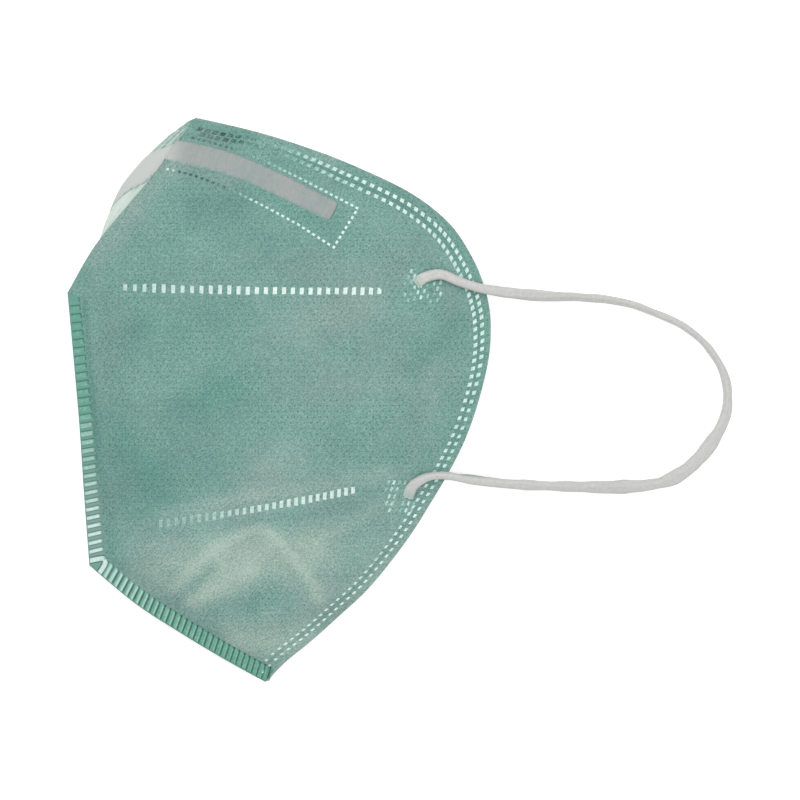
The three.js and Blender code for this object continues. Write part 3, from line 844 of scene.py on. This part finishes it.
def makeFacepiece(setup):
    tip = 0.004
    at = np.concatenate([
        np.linspace(tip, chinCorner, 90, endpoint=False),
        np.linspace(chinCorner, noseCorner, 112, endpoint=False),
        noseCorner + (1 - tip - noseCorner) * (1 - (1 - np.linspace(0, 1, setup["rows"] - 202)) ** 1.3)])
    start, direction, width, weld, pressed = rowFrame(at)
    weldShare = weld / width

    def shares(columns, power):
        spread = np.linspace(0, 1, columns)[None, :] ** power
        inner = weldShare[:, None] + (1 - weldShare[:, None]) * spread
        rim = 1 - np.minimum(0.42 / width, 0.3 * (1 - weldShare))[:, None]     # one thin band along the edge
        inner = np.concatenate([np.minimum(inner[:, :-1], rim - 1e-4), rim, inner[:, -1:]], axis=1)
        return np.concatenate([np.zeros((len(at), 1)), inner], axis=1)

    def along(across):
        return np.repeat(at[:, None], across.shape[1], axis=1)

    def planOf(across):
        return start[:, None, :] + direction[:, None, :] * (across * width[:, None])[..., None]

    leftShares, rightShares = shares(setup["leftColumns"], 1.0), shares(setup["rightColumns"], 1.35)
    innerShares = shares(setup["innerColumns"], 1.25)[:, 2:]
    outerLeft = leftHalf(along(leftShares), leftShares)
    outerRight = rightHalf(along(rightShares), rightShares)
    innerAt = along(innerShares)
    coarseLeft, coarseRight = leftHalf(innerAt, innerShares), rightHalf(innerAt, innerShares)
    apart = 0.45 * np.linalg.norm(coarseLeft - coarseRight, axis=-1)
    edgeDistance, _ = edgeMeasure(planOf(innerShares)[..., 0], planOf(innerShares)[..., 1])
    wall = setup["edgeWall"] + (setup["wall"] - setup["edgeWall"]) * smoothStep(edgeDistance, 0.5, 7)
    depth = np.minimum(wall, apart)[..., None]
    innerLeft = coarseLeft - depth * outward(leftHalf, innerAt, innerShares)
    innerRight = coarseRight - depth * outward(rightHalf, innerAt, innerShares)
    apex = (innerLeft[:, :1] + innerRight[:, :1]) / 2
    back = start + direction * (weld * 1.02)[:, None]
    apex[:, 0, :2] = back

    parts = [
        (outerLeft[:, ::-1], leftShares[:, ::-1]), (outerRight, rightShares),
        (innerRight[:, ::-1], innerShares[:, ::-1]), (apex, weldShare[:, None]), (innerLeft, innerShares),
    ]
    rings = np.concatenate([part for part, _ in parts], axis=1)
    across = np.concatenate([share for _, share in parts], axis=1)
    plan = planOf(across)
    count = rings.shape[1]
    faces = gridFaces(len(at), count, closed=True)
    first = tuple(range(count))
    lastRow = (len(at) - 1) * count
    faces += [first, tuple(lastRow + k for k in reversed(range(count)))]
    piece = makeMesh("facepiece_cloth", rings.reshape(-1, 3), faces, {"plan": plan.reshape(-1, 2)})
    distance, walked = edgeMeasure(plan[..., 0], plan[..., 1])
    shadeAndTone, tint = makeShadeAndTone(plan[..., 0], plan[..., 1], distance)
    edgeShare = walked / walkedLength(rightOutline)[-1]
    between = tableValue(edgeRows["margin"], edgeShare) + 0.5 * tableValue(edgeRows["apart"], edgeShare)
    band = np.exp(-((distance - between) / 0.55) ** 2)           # painted shade between the two rows of welds, turning to painted light near the top corner
    shadeAndTone += band * tableValue([(0, -0.3), (0.88, -0.35), (0.92, 0.2), (1, 0.25)], edgeShare)
    # Painted light: where the half underneath shows beyond the nose fold it is made pale as if brightly lit,
    # with five darker lines along it.
    rightAt, rightDeep = along(rightShares), rightShares * width[:, None]
    upper = smoothStep(rightAt, 0.84, 0.91)
    beyond = smoothStep(rightAt, noseCorner - 0.01, noseCorner + 0.05)
    beyond = beyond * (1 - smoothStep(rightAt, 0.965, 0.995))
    beyond = beyond * (1 - smoothStep(rightDeep, 12, 20))
    lines = sum(np.exp(-((rightDeep - deep) / 0.32) ** 2) for deep in (1.5, 3.3, 5.0, 6.6, 8.2))
    right = slice(leftShares.shape[1], leftShares.shape[1] + rightShares.shape[1])
    shadeAndTone[:, right] += (1.15 - 0.2 * upper - (0.15 + 0.55 * upper) * lines) * beyond
    addValues(piece, "shadeAndTone", shadeAndTone.ravel())
    addValues(piece, "tint", tint.ravel())
    piece.data.materials.append(outerClothMaterial)
    piece.data.materials.append(innerClothMaterial)
    outerCount = leftShares.shape[1] + rightShares.shape[1]
    slots = np.zeros(len(piece.data.polygons), np.int32)
    column = np.arange((len(at) - 1) * count) % count
    slots[:len(column)] = (column >= outerCount) & (column < count - 1)
    piece.data.polygons.foreach_set("material_index", slots)
    piece.data.set_sharp_from_angle(angle=math.radians(50))
    return piece


facepiece = makeFacepiece(sheet)
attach(facepiece, "root")
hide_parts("facepiece")
print("facepiece folded:", len(facepiece.data.polygons), "faces")


# Welded seam along the chin and the front.
seamSetup = {
    "step": 0.16,             # along the edge
    "layers": 22,             # points across each face of the strip
    "proud": 0.05,            # above the pressed fin
    "ridge": 0.3,             # height of the cloth that stands between the bars
    "edgeMargin": 0.25,       # cloth left outside the bars
    "chinStart": 3.2,         # the first light line of the chin, from the corner
    "chinPitch": 1.9,
    "chinEase": 0.005,        # how much closer each next bar stands
    "frontPitch": 2.29,
    "chinSlant": 0.2,         # how far a bar leans along the edge for each millimetre inwards
    "frontSlant": (-0.18, -0.02),     # at the corner and at the upper end
    # painted reflection of the glossy bars: along the front by share upwards, along the chin by the way from
    # the corner
    "frontShine": [(0, 1), (0.18, 0.95), (0.37, 0.42), (0.5, 0.36), (0.57, 0.1), (1, 0.0)],
    "chinShine": [(0, 1), (8, 0.95), (15, 0.8), (22, 0.5), (35, 0.3), (50, 0.15)],   # way from the corner
    "barShare": (0.43, 0.56),         # of the pitch that is pressed
    "archLine": [(-52.0, -44.0), (-49.7, -43.5), (-48.1, -43.35), (-47.5, -44.2), (-48.0, -45.6),
                 (-49.2, -47.4)],
    "archTip": (-47.3, -43.45, 0.65),
    "archWidth": 1.3,         # the band where the two seams meet
    "archCloth": (-50.3, -45.2),
}
seamColours = {
    "cloth": colour(120, 154, 146),
    "upper": colour(98, 151, 136),
    "film": colour(197, 220, 212),
    "green": colour(84, 152, 131),
    "shadow": colour(10, 60, 50),
    "shine": colour(208, 243, 233),
}


def makeSeamMaterial(setup):
    material, build, shader = newMaterial("seamFilm", 0.42)
    bar, gleam = readValue(build, "bar"), readValue(build, "gleam")
    dark, light = readValue(build, "dark"), readValue(build, "light")
    place = build.vector("MULTIPLY", build.add("ShaderNodeTexCoord").outputs["Object"], (1000, 1000, 1000))
    flaw = build.noise(place, 1.3, 3.0, 0.6)
    shine = build.math("ADD", gleam, build.mapRange(flaw, 0.3, 0.7, -0.15, 0.15), clamp=True)
    cloth = build.mixColour(readValue(build, "upper"), setup["cloth"], setup["upper"])
    base = build.mixColour(bar, cloth, build.mixColour(shine, setup["green"], setup["film"]))
    # painted highlight along one side of each bar
    base = build.mixColour(light, base, setup["shine"])
    # painted shade lines beside the bars, at their inner ends and along the rounded edge, and a dark ring
    # round the corner arch
    base = build.mixColour(dark, base, setup["shadow"])
    build.feed(shader.inputs["Base Color"], base)
    build.feed(shader.inputs["Roughness"], build.mapRange(bar, 0, 1, 0.75, 0.35))
    addBump(build, shader, flaw, 0.35, 0.0001)
    return material


def makeSeam(setup):
    edge = np.vstack([splinePoints(chinSeam)[:-1], splinePoints(frontSeam)])
    walked = walkedLength(edge)
    chinLength = walkedLength(splinePoints(chinSeam))[-1]
    total = walked[-1]
    along = np.arange(0.5, total - 0.2, setup["step"])
    base = pointsAt(edge, along / total)
    ahead = pointsAt(edge, np.clip((along + 1.2) / total, 0, 1))
    behind = pointsAt(edge, np.clip((along - 1.2) / total, 0, 1))
    tangent = unit(ahead - behind)
    inward = np.stack([tangent[:, 1], -tangent[:, 0]], axis=-1)
    upwards = np.clip((along - chinLength) / (total - chinLength), 0, 1)
    width = np.where(along < chinLength, 4.5, 4.6 - 1.1 * upwards)
    width = width * smoothStep(total - along, -1.0, 2.0)
    endCalm = smoothStep(total - along, 1.5, 4.0)[:, None]     # plain cloth at the upper end
    deep = np.linspace(0, 1, setup["layers"])
    plan = base[:, None, :] + inward[:, None, :] * (deep[None, :] * width[:, None])[..., None]
    at, across = locate(plan[..., 0], plan[..., 1])
    across = np.clip(across, 0, 1)
    top = leftHalf(at, across, relief=False)[..., 2]
    bottom = rightHalf(at, across)[..., 2]

    offset = deep[None, :] * width[:, None]
    onChin = (along < chinLength)[:, None]
    fromCorner = np.abs(along - chinLength)[:, None]
    chinWay = fromCorner + setup["chinSlant"] * (offset - 2.2) - setup["chinStart"]
    spread, ease = setup["chinPitch"], setup["chinEase"]
    chinPhase = 1.38 + (spread - np.sqrt(spread ** 2 - 4 * ease * chinWay)) / (2 * ease)
    low, high = setup["frontSlant"]
    frontLean = low + (high - low) * upwards[:, None]
    frontPhase = (fromCorner + frontLean * (offset - 2) - 0.55) / setup["frontPitch"]
    phase = np.where(onChin, chinPhase, frontPhase)
    wave = np.abs((phase % 1) - 0.5) * 2       # 0 in the middle of a bar, 1 in the middle of a ridge
    barGrowth = [(0.25, setup["barShare"][0]), (0.5, setup["barShare"][1])]
    barEdge = np.where(onChin, setup["barShare"][0], tableValue(barGrowth, upwards[:, None]))
    bar = 1 - smoothStep(wave, barEdge - 0.09, barEdge + 0.09)
    archPath = splinePoints(setup["archLine"], 6)
    fromArch = distanceToPath(plan[..., 0], plan[..., 1], archPath) - setup["archWidth"] / 2
    tipX, tipY, tipReach = setup["archTip"]
    fromArch = np.minimum(fromArch, np.hypot(plan[..., 0] - tipX, plan[..., 1] - tipY) - tipReach)
    inside = np.hypot(plan[..., 0] - setup["archCloth"][0], plan[..., 1] - setup["archCloth"][1])
    inCorner = (fromArch < 0.42) | (inside < 1.7)
    bar = np.where(inCorner, 1 - smoothStep(fromArch, -0.08, 0.08), bar)
    margin = smoothStep(offset, setup["edgeMargin"] - 0.2, setup["edgeMargin"] + 0.25)
    margin = margin * (1 - smoothStep(offset, width[:, None] - 0.5, width[:, None] - 0.1)) * endCalm
    bar = bar * margin
    rounded = np.sqrt(np.clip(1 - (1 - np.minimum(offset / 0.5, 1)) ** 2, 0, 1))
    ridge = setup["ridge"] * (1 - 0.65 * smoothStep(upwards, 0.3, 0.6))[:, None]
    relief = setup["proud"] + ridge * (1 - bar)
    relief = relief * rounded - 0.45 * (1 - rounded)
    relief = relief * (1 - smoothStep(offset, width[:, None] - 0.9, width[:, None])) - 0.03 * deep[None, :]
    up, down = top + relief, bottom - relief
    middle = (top + bottom) / 2
    up, down = np.maximum(up, middle + 0.02), np.minimum(down, middle - 0.02)

    upper = np.concatenate([plan, up[..., None]], axis=-1)
    lower = np.concatenate([plan, down[..., None]], axis=-1)
    rings = np.concatenate([upper[:, ::-1], lower], axis=1)
    count = rings.shape[1]
    faces = gridFaces(len(along), count, closed=True)
    last = (len(along) - 1) * count
    faces += [tuple(range(count)), tuple(last + k for k in reversed(range(count)))]
    piece = makeMesh("seam_weld", rings.reshape(-1, 3), faces)

    high = np.repeat(upwards[:, None], setup["layers"], axis=1)
    chin = np.repeat(onChin, setup["layers"], axis=1)
    chinFade = tableValue(setup["chinShine"], fromCorner)
    nearCorner = 1 - smoothStep(fromCorner, 3, 10)
    # painted reflection of the chin's bars, strongest near the corner
    chinGleam = 0.05 + 0.12 * np.clip(chinFade - 0.5, 0, 1) + 0.1 * nearCorner
    shine = np.where(chin, chinGleam, tableValue(setup["frontShine"], high))
    shine = np.where(inCorner, 1.0, shine)
    side = np.sin(2 * math.pi * phase)         # one flank of each bar positive, the other negative
    topPart = smoothStep(high, 0.3, 0.6)
    turnOf = phase % 1
    # Painted light and shade: a highlight line on one side of each bar and a shade line on the other, as if
    # lit from one side.
    flankShading = np.exp(-((wave - barEdge - 0.1) / 0.12) ** 2)
    darkWidth = 0.13 + 0.05 * chinFade + 0.07 * nearCorner
    chinDark = np.exp(-((turnOf - 0.65) / darkWidth) ** 2) * (0.75 + 0.2 * chinFade - 0.15 * nearCorner)
    dark = np.where(chin, chinDark, flankShading * (0.55 + 0.2 * topPart * (side < 0))) * margin
    lightWidth = 0.08 + 0.14 * chinFade + 0.05 * nearCorner
    chinLight = np.exp(-((turnOf - 0.38) / lightWidth) ** 2) * (0.08 + 0.92 * chinFade)
    light = np.where(chin, chinLight, flankShading * (side > 0) * 0.3 * topPart) * margin
    inner = smoothStep(offset, width[:, None] - 0.9, width[:, None] - 0.4) * (wave < barEdge)
    inner = inner * (1 - smoothStep(offset, width[:, None] - 0.3, width[:, None]))
    dark = np.maximum(dark, inner * np.where(chin, 0.4, 0.6))
    spots = smoothStep(offset, width[:, None] - 1.3, width[:, None] - 0.5)
    spots = spots * np.exp(-((turnOf - 0.6) / 0.16) ** 2)
    dark = np.maximum(dark, np.where(chin, 0.9 * spots, 0.0))
    rim = 1 - smoothStep(offset, 0.05, 0.5)
    dark = np.maximum(dark, rim * np.where(chin, 0.6 * (1 - 0.9 * chinFade), 0.15))
    ring = np.exp(-((fromArch - 0.18) / 0.13) ** 2)
    dark = np.where(inCorner, 0.75 * ring, dark)
    light = np.where(inCorner, 0.0, light)
    bar = np.where(chin & ~inCorner, margin, bar)
    upper = np.where(chin, 0.5, smoothStep(high, 0.15, 0.5))
    for name, value in (("bar", bar), ("gleam", shine), ("dark", dark), ("light", light), ("upper", upper)):
        addValues(piece, name, np.concatenate([value[:, ::-1], value], axis=1).ravel())
    piece.data.set_sharp_from_angle(angle=math.radians(65))
    piece.data.materials.append(makeSeamMaterial(seamColours))
    return piece


seamWeld = makeSeam(seamSetup)
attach(seamWeld, "root")
print("seam pressed:", len(seamWeld.data.polygons), "faces")


# Nose strip.
stripSetup = {
    "width": 6.5,
    "below": [(0, 1.08), (0.1, 1.36), (0.3, 1.25), (0.6, 1.06), (1, 0.88)],   # lower border, by its length
    "above": [(0, 0.93), (0.15, 0.88), (0.5, 0.96), (1, 1.1)],
    "height": 0.5,
    "steps": 170,
    "sides": 15,
    "route": [(-30.0, 68.6), (-25.4, 68.0), (-20.0, 66.8), (-14.6, 65.2), (-9.1, 63.1), (-3.7, 60.6),
              (1.0, 58.3), (6.8, 55.2), (15.4, 50.7)],
    "farRoute": [(-30.0, 68.6), (-27.6, 68.2), (-27.0, 66.2), (-30.7, 61.3), (-34.1, 55.2), (-36.0, 48.5),
                 (-33, 41), (-27.5, 36)],
}
stripColours = {
    "band": colour(137, 153, 150),
    "warm": colour(162, 162, 161),
    "side": colour(112, 148, 139),
    # painted light on the strip where it lies on the half underneath and at its end by the fold
    "far": colour(189, 193, 190),
    "shade": colour(74, 112, 102),
}


def makeStripMaterial(setup):
    material, build, shader = newMaterial("noseStrip", 0.8, 0.1)
    band, far = readValue(build, "band"), readValue(build, "far")
    place = build.vector("MULTIPLY", build.add("ShaderNodeTexCoord").outputs["Object"], (1000, 1000, 1000))
    turned = build.add("ShaderNodeVectorRotate", {"Vector": place, "Angle": 0.35}, rotation_type="Z_AXIS")
    fuzz = build.noise(build.vector("MULTIPLY", turned.outputs[0], (1.7, 1.0, 1)), 1.0, 3.0, 0.6)
    soft = build.noise(build.vector("MULTIPLY", turned.outputs[0], (0.45, 0.12, 0.3)), 1.0, 2.0, 0.5)
    mottle = build.math("ADD", build.math("MULTIPLY", fuzz, 0.5), build.math("MULTIPLY", soft, 0.5))
    base = build.mixColour(build.mapRange(mottle, 0.3, 0.7, 0, 1), setup["band"], setup["warm"])
    base = build.mixColour(far, base, setup["far"])
    ragged = build.math("ADD", band, build.mapRange(fuzz, 0.3, 0.7, -0.25, 0.25))
    base = build.mixColour(build.mapRange(ragged, 0.1, 0.7, 0, 1), setup["side"], base)
    shade = build.math("MULTIPLY", readValue(build, "shade"), build.mapRange(fuzz, 0.3, 0.7, 0.55, 0.95))
    base = build.mixColour(shade, base, setup["shade"])
    build.feed(shader.inputs["Base Color"], base)
    addBump(build, shader, fuzz, 0.3, 0.0001)
    return material


def makeStrip(setup):
    route = splinePoints(setup["route"])
    length = walkedLength(route)[-1]
    nearShare = np.linspace(0, 1, setup["steps"]) ** 1.1
    farRoute = splinePoints(setup["farRoute"])
    farShare = np.linspace(1, 0, setup["steps"] // 2, endpoint=False)
    rings, bands, fars = [], [], []
    offsets = np.linspace(-1, 1, setup["sides"])
    shades = []
    for half, shares in ((rightHalf, farShare), (leftHalf, nearShare)):
        line, way = (route, 1) if half is leftHalf else (farRoute, -1)
        centre = pointsAt(line, shares)
        ahead = pointsAt(line, np.clip(shares + 0.01, 0, 1))
        behind = pointsAt(line, np.clip(shares - 0.01, 0, 1))
        tangent = unit(ahead - behind) * way
        if half is rightHalf:                 # swings into line with the near part at the fold
            swing = smoothStep(shares, 0.0, 0.22)[:, None]
            start = unit(route[8] - route[0])
            tangent = unit(start * (1 - swing) + tangent * swing)
        side = np.stack([-tangent[:, 1], tangent[:, 0]], axis=-1)
        fromEnd = (1 - shares) * length
        taper = np.clip(1 - (1 - np.minimum(fromEnd / 1.4, 1)) ** 2, 0, 1) ** 0.35
        endTaper = taper if half is leftHalf else 1.0
        reach = np.ones_like(shares) * setup["width"] / 2 * endTaper
        reach = reach[:, None] * np.ones((1, setup["sides"]))
        if half is leftHalf:
            below, above = (tableValue(setup[name], shares)[:, None] for name in ("below", "above"))
            reach = reach * np.where(offsets < 0, below, above)
        else:                                 # the outer border is drawn in where the cloth turns under
            reach = reach * np.where(offsets < 0, 1 - 0.5 * smoothStep(shares, 0.0, 0.16)[:, None], 1)
        plan = centre[:, None, :] + side[:, None, :] * (offsets * reach)[..., None]
        at, across = locate(plan[..., 0], plan[..., 1])
        across = np.clip(across, 0, 1)
        surface = half(at, across)
        normal = outward(half, at, np.maximum(across, 0.02))
        blend = smoothStep(across, 0, 0.03)[..., None]
        normal = unit(normal * blend + np.array([-0.82, 0.2, 0.54]) * (1 - blend))
        profile = (1 - offsets ** 2) ** 0.7
        rise = setup["height"] * profile[None, :] * np.reshape(endTaper * np.ones_like(shares), (-1, 1))
        if half is rightHalf:                 # flatter where the object lies on it
            rise = rise * (1 - 0.6 * smoothStep(shares, 0.55, 0.75))[:, None]
        points = surface + normal * (rise - 0.12)[..., None]
        under = surface - normal * 0.3
        rings.append(np.concatenate([points, under[:, ::-1]], axis=1))
        fade = np.minimum(1, fromEnd / 0.8) if half is leftHalf else np.ones_like(shares)
        band = (1 - np.abs(offsets) ** 3.5)[None, :] * fade[:, None]
        bands.append(np.concatenate([band, band[:, ::-1]], axis=1))
        # painted light: pale all along the half underneath, on the near part only close to the fold
        paler = 1.0 if half is rightHalf else 0.75 * np.exp(-(shares * length / 3.2) ** 2)
        fars.append(np.ones(bands[-1].shape) * np.reshape(paler * np.ones_like(shares), (-1, 1)))
        shade = smoothStep(offsets, 0.8, 0.98)[None, :] + (1 - smoothStep(fromEnd, 0.1, 0.7))[:, None]
        shade = np.clip(shade, 0, 1) * (half is leftHalf)
        shades.append(np.concatenate([shade, shade[:, ::-1]], axis=1))
    rings = np.concatenate(rings)
    count = rings.shape[1]
    last = (len(rings) - 1) * count
    faces = gridFaces(len(rings), count, closed=True)
    faces += [tuple(range(count)), tuple(last + k for k in reversed(range(count)))]
    piece = makeMesh("nose_strip", rings.reshape(-1, 3), faces)
    piece.data.set_sharp_from_angle(angle=math.radians(65))
    addValues(piece, "band", np.concatenate(bands).ravel())
    addValues(piece, "far", np.concatenate(fars).ravel())
    addValues(piece, "shade", np.concatenate(shades).ravel())
    piece.data.materials.append(makeStripMaterial(stripColours))
    return piece


noseStrip = makeStrip(stripSetup)
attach(noseStrip, "root")
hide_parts("nose_wire")
print("nose strip laid")


# Weld marks.
pocketSetup = {"pitches": (1.577, 1.585, 1.627), "lastAt": (0.0, 0, 1.42), "size": (0.95, 0.75)}
markSetup = {"Thickness": 0.22, "Top share": 0.8}       # of every mark; its top is narrower than its foot
# Painted reflection on the pocket's dots: how light they lie, by the way from the left.
pocketGleam = [
    [(-15, 0.04), (-11, 0.26), (-1, 0.53), (4, 0.65), (20, 0.84)],
    [(15, 0.93), (22, 0.9)],
    [(-32, 0.8), (-28.6, 0.66), (-27, 0.04), (-15, 0.04), (-12.5, 0.38), (-7, 0.7), (13, 0.9)],
]
# Weld points that hold the ear loops: a lattice within a box, all in millimetres.
loopWelds = [
    {"centre": (39.2, 30.9), "reach": (5.0, 4.2), "first": (35.3, 30.3), "column": (1.77, 0.33),
     "row": (0.87, -1.37), "size": (1.25, 0.75), "turn": 74},
    {"centre": (33.2, -26.2), "reach": (4.2, 4.4), "first": (33.1, -26.2), "column": (1.5, 0.0),
     "row": (0.68, 1.9), "size": (1.4, 0.72), "turn": 66},
]


def alongLine(points, pitch, last):           # places and directions, evenly from the line's end
    points = np.array(points, float)
    total = walkedLength(points)[-1]
    shares = np.arange(total - last, 0.8, -pitch) / total
    ahead = pointsAt(points, np.clip(shares + 0.02, 0, 1))
    behind = pointsAt(points, np.clip(shares - 0.02, 0, 1))
    return pointsAt(points, shares), np.arctan2(*(ahead - behind).T[::-1])


# how far a mark's painted reflection turns from mint to the whiter grey ramp
def greyShare(gleam):
    return 0.5 * float(smoothStep(gleam, 0.5, 0.85))


def listMarks():                # x, y, turn, long, wide, gleam, slant, grey and "on both halves" of each mark
    marks = []
    for bars in barRows:
        start, end = np.array(bars["from"]), np.array(bars["to"])
        for i in range(bars["count"]):
            share = i / (bars["count"] - 1)
            share += bars["ease"] * share * (1 - share)         # the bars stand closer towards the edge
            place = start + (end - start) * share - np.array([0, bars["sag"] * math.sin(math.pi * share)])
            turn = math.pi / 2 - (bars["lean"][0] + (bars["lean"][1] - bars["lean"][0]) * share)
            gleam = float(tableValue(bars["gleam"], share))
            marks.append((*place, turn, bars["size"][1], bars["size"][0], gleam, 0.0, 1.0, 1))
    for index, line in enumerate((pocketUpper, pocketEnd, pocketLower)):
        places, turns = alongLine(line, pocketSetup["pitches"][index], pocketSetup["lastAt"][index])
        for place, turn in zip(places, turns):
            gleam = float(tableValue(pocketGleam[index], place[0]))
            marks.append((*place, turn, *pocketSetup["size"], gleam, 0.0, greyShare(gleam), 0))
    total = walkedLength(rightOutline)[-1]
    for order, row in enumerate(("outer", "inner")):
        places = edgeRows[row + "Places"]
        for number in range(places[0][0], places[-1][0] + 1):
            share = float(tableValue(places, number)) / total
            base = pointsAt(rightOutline, share)
            ahead = pointsAt(rightOutline, min(1, share + 0.004))
            behind = pointsAt(rightOutline, share - 0.004)
            tangent = unit(ahead - behind)
            inside = np.array([-tangent[1], tangent[0]])
            long, wide, slant, margin, apart, gleam = (float(tableValue(edgeRows[name], share)) for name in (
                "long", "wide", "slant", "margin", "apart", row + "Gleam"))
            place = base + inside * (margin + order * apart)
            turn = math.atan2(tangent[1], tangent[0])
            marks.append((*place, turn, long, wide, gleam, slant, greyShare(gleam), 1))
    for patch in loopWelds:
        column, row = np.array(patch["column"]), np.array(patch["row"])
        for i in range(-6, 7):
            for k in range(-6, 7):
                place = np.array(patch["first"]) + i * column + k * row
                away = np.abs((place - patch["centre"]) / patch["reach"])
                if away.max() < 1 and away.sum() < 1.7:
                    # a painted reflection that changes from dot to dot
                    gleam = 0.35 + 0.4 * abs(math.sin(5.3 * i + 2.9 * k))
                    marks.append((*place, math.radians(patch["turn"]), *patch["size"], gleam, 0.0, 0.0, 1))
    return np.array(marks)


def makeMarkTree(material):
    tree = bpy.data.node_groups.new("weldMarks", "GeometryNodeTree")
    tree.interface.new_socket(name="Geometry", in_out="INPUT", socket_type="NodeSocketGeometry")
    for name, value in markSetup.items():
        socket = tree.interface.new_socket(name=name, in_out="INPUT", socket_type="NodeSocketFloat")
        socket.default_value = value
    tree.interface.new_socket(name="Geometry", in_out="OUTPUT", socket_type="NodeSocketGeometry")
    build = nodeTree(tree)
    given, result = build.add("NodeGroupInput"), build.add("NodeGroupOutput")
    cube = build.add("GeometryNodeMeshCube", {"Size": (0.001, 0.001, 0.001)})
    normal = build.add("GeometryNodeInputNormal").outputs[0]
    upward = build.add("ShaderNodeSeparateXYZ", {0: normal}).outputs[2]
    onTop = build.add("FunctionNodeCompare", {0: upward, 1: 0.5}, data_type="FLOAT", operation="GREATER_THAN")
    onSide = build.math("LESS_THAN", upward, 0.5)
    narrowed = build.add("GeometryNodeScaleElements", {
        "Geometry": cube.outputs[0], "Selection": onTop.outputs[0], "Scale": given.outputs["Top share"]})
    position = build.add("GeometryNodeInputPosition").outputs[0]
    across = build.add("ShaderNodeSeparateXYZ", {0: position}).outputs[1]
    sided = build.add("GeometryNodeStoreNamedAttribute", {
        "Geometry": narrowed.outputs[0], "Name": "across", "Value": build.math("MULTIPLY", across, 1000)},
        data_type="FLOAT", domain="POINT")
    # the sides are stored for the painted shade of the marks' outlines
    sided = build.add("GeometryNodeStoreNamedAttribute", {
        "Geometry": sided.outputs[0], "Name": "flankShading", "Value": onSide}, data_type="FLOAT", domain="FACE")

    def named(kind, name):
        node = build.add("GeometryNodeInputNamedAttribute", data_type=kind)
        node.inputs["Name"].default_value = name
        return node.outputs["Attribute"]

    turned = build.add("FunctionNodeAxesToRotation", {0: named("FLOAT_VECTOR", "facing"),
                                                      1: named("FLOAT_VECTOR", "lengthwise")},
                       primary_axis="Z", secondary_axis="X")
    sizes = build.add("ShaderNodeCombineXYZ", {0: named("FLOAT", "long"), 1: named("FLOAT", "wide"),
                                              2: given.outputs["Thickness"]})
    placed = build.add("GeometryNodeInstanceOnPoints", {
        "Points": given.outputs["Geometry"], "Instance": sided.outputs[0],
        "Rotation": turned.outputs[0], "Scale": sizes.outputs[0]})
    real = build.add("GeometryNodeRealizeInstances", {0: placed.outputs[0]})
    shear = build.add("ShaderNodeVectorMath", {0: named("FLOAT_VECTOR", "lengthwise")}, operation="SCALE")
    reach = build.math("MULTIPLY", named("FLOAT", "slant"), named("FLOAT", "wide"))
    reach = build.math("MULTIPLY", reach, named("FLOAT", "across"))
    build.feed(shear.inputs["Scale"], build.math("MULTIPLY", reach, -mm))
    sheared = build.add("GeometryNodeSetPosition", {"Geometry": real.outputs[0], "Offset": shear.outputs[0]})
    painted = build.add("GeometryNodeSetMaterial", {"Geometry": sheared.outputs[0]})
    painted.inputs["Material"].default_value = material
    build.feed(result.inputs[0], painted.outputs[0])
    return tree


def makeMarks():
    table = listMarks()
    x, y, turn = table[:, 0], table[:, 1], table[:, 2]
    at, across = locate(x, y)
    aheadAt, aheadAcross = locate(x + 0.3 * np.cos(turn), y + 0.3 * np.sin(turn))
    across, aheadAcross = np.clip(across, 0.001, 0.995), np.clip(aheadAcross, 0.001, 0.995)
    points, facing, lengthwise, kept = [], [], [], []
    for half in (leftHalf, rightHalf):
        place = half(at, across)
        normal = outward(half, at, across)
        deep = across * rowFrame(at)[2]
        underneath = ((deep > 9) | (y > 67)) & (table[:, 8] > 0)
        kept.append(underneath if half is rightHalf else deep > -1)
        points.append((place - normal * 0.05)[kept[-1]])
        facing.append(normal[kept[-1]])
        lengthwise.append(unit(half(aheadAt, aheadAcross) - place)[kept[-1]])
    table = np.concatenate([table[keep] for keep in kept])
    beyond = np.arange(len(table)) >= kept[0].sum()
    table[beyond, 3:5] *= 0.7                 # the half underneath is pressed less
    table[beyond, 5] = np.maximum(table[beyond, 5], 0.25)
    mesh = bpy.data.meshes.new("weld_points")
    mesh.from_pydata([tuple(p) for p in np.concatenate(points) * mm], [], [])
    for name, values in (("facing", facing), ("lengthwise", lengthwise)):
        attribute = mesh.attributes.new(name, "FLOAT_VECTOR", "POINT")
        attribute.data.foreach_set("vector", np.concatenate(values).astype(np.float32).ravel())
    table[:, 3:5] *= 1.1                      # the sloped flanks come on top of a mark's own size
    for name, column in (("long", 3), ("wide", 4), ("gleam", 5), ("slant", 6), ("grey", 7)):
        attribute = mesh.attributes.new(name, "FLOAT", "POINT")
        attribute.data.foreach_set("value", table[:, column].astype(np.float32))
    holder = bpy.data.objects.new("weld_points", mesh)
    bpy.context.scene.collection.objects.link(holder)
    modifier = holder.modifiers.new("marks", "NODES")
    tree = makeMarkTree(weldFilmMaterial)
    modifier.node_group = tree
    for item in tree.interface.items_tree:
        if item.in_out == "INPUT" and item.name in markSetup:
            modifier[item.identifier] = markSetup[item.name]
    bpy.context.view_layer.update()
    evaluated = holder.evaluated_get(bpy.context.evaluated_depsgraph_get())
    made = bpy.data.meshes.new_from_object(evaluated)
    bpy.data.objects.remove(holder)
    made.name = "weld_marks"
    piece = bpy.data.objects.new("weld_marks", made)
    bpy.context.scene.collection.objects.link(piece)
    return piece


weldMarks = makeMarks()
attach(weldMarks, "root")
print("weld marks pressed:", len(weldMarks.data.polygons), "faces")
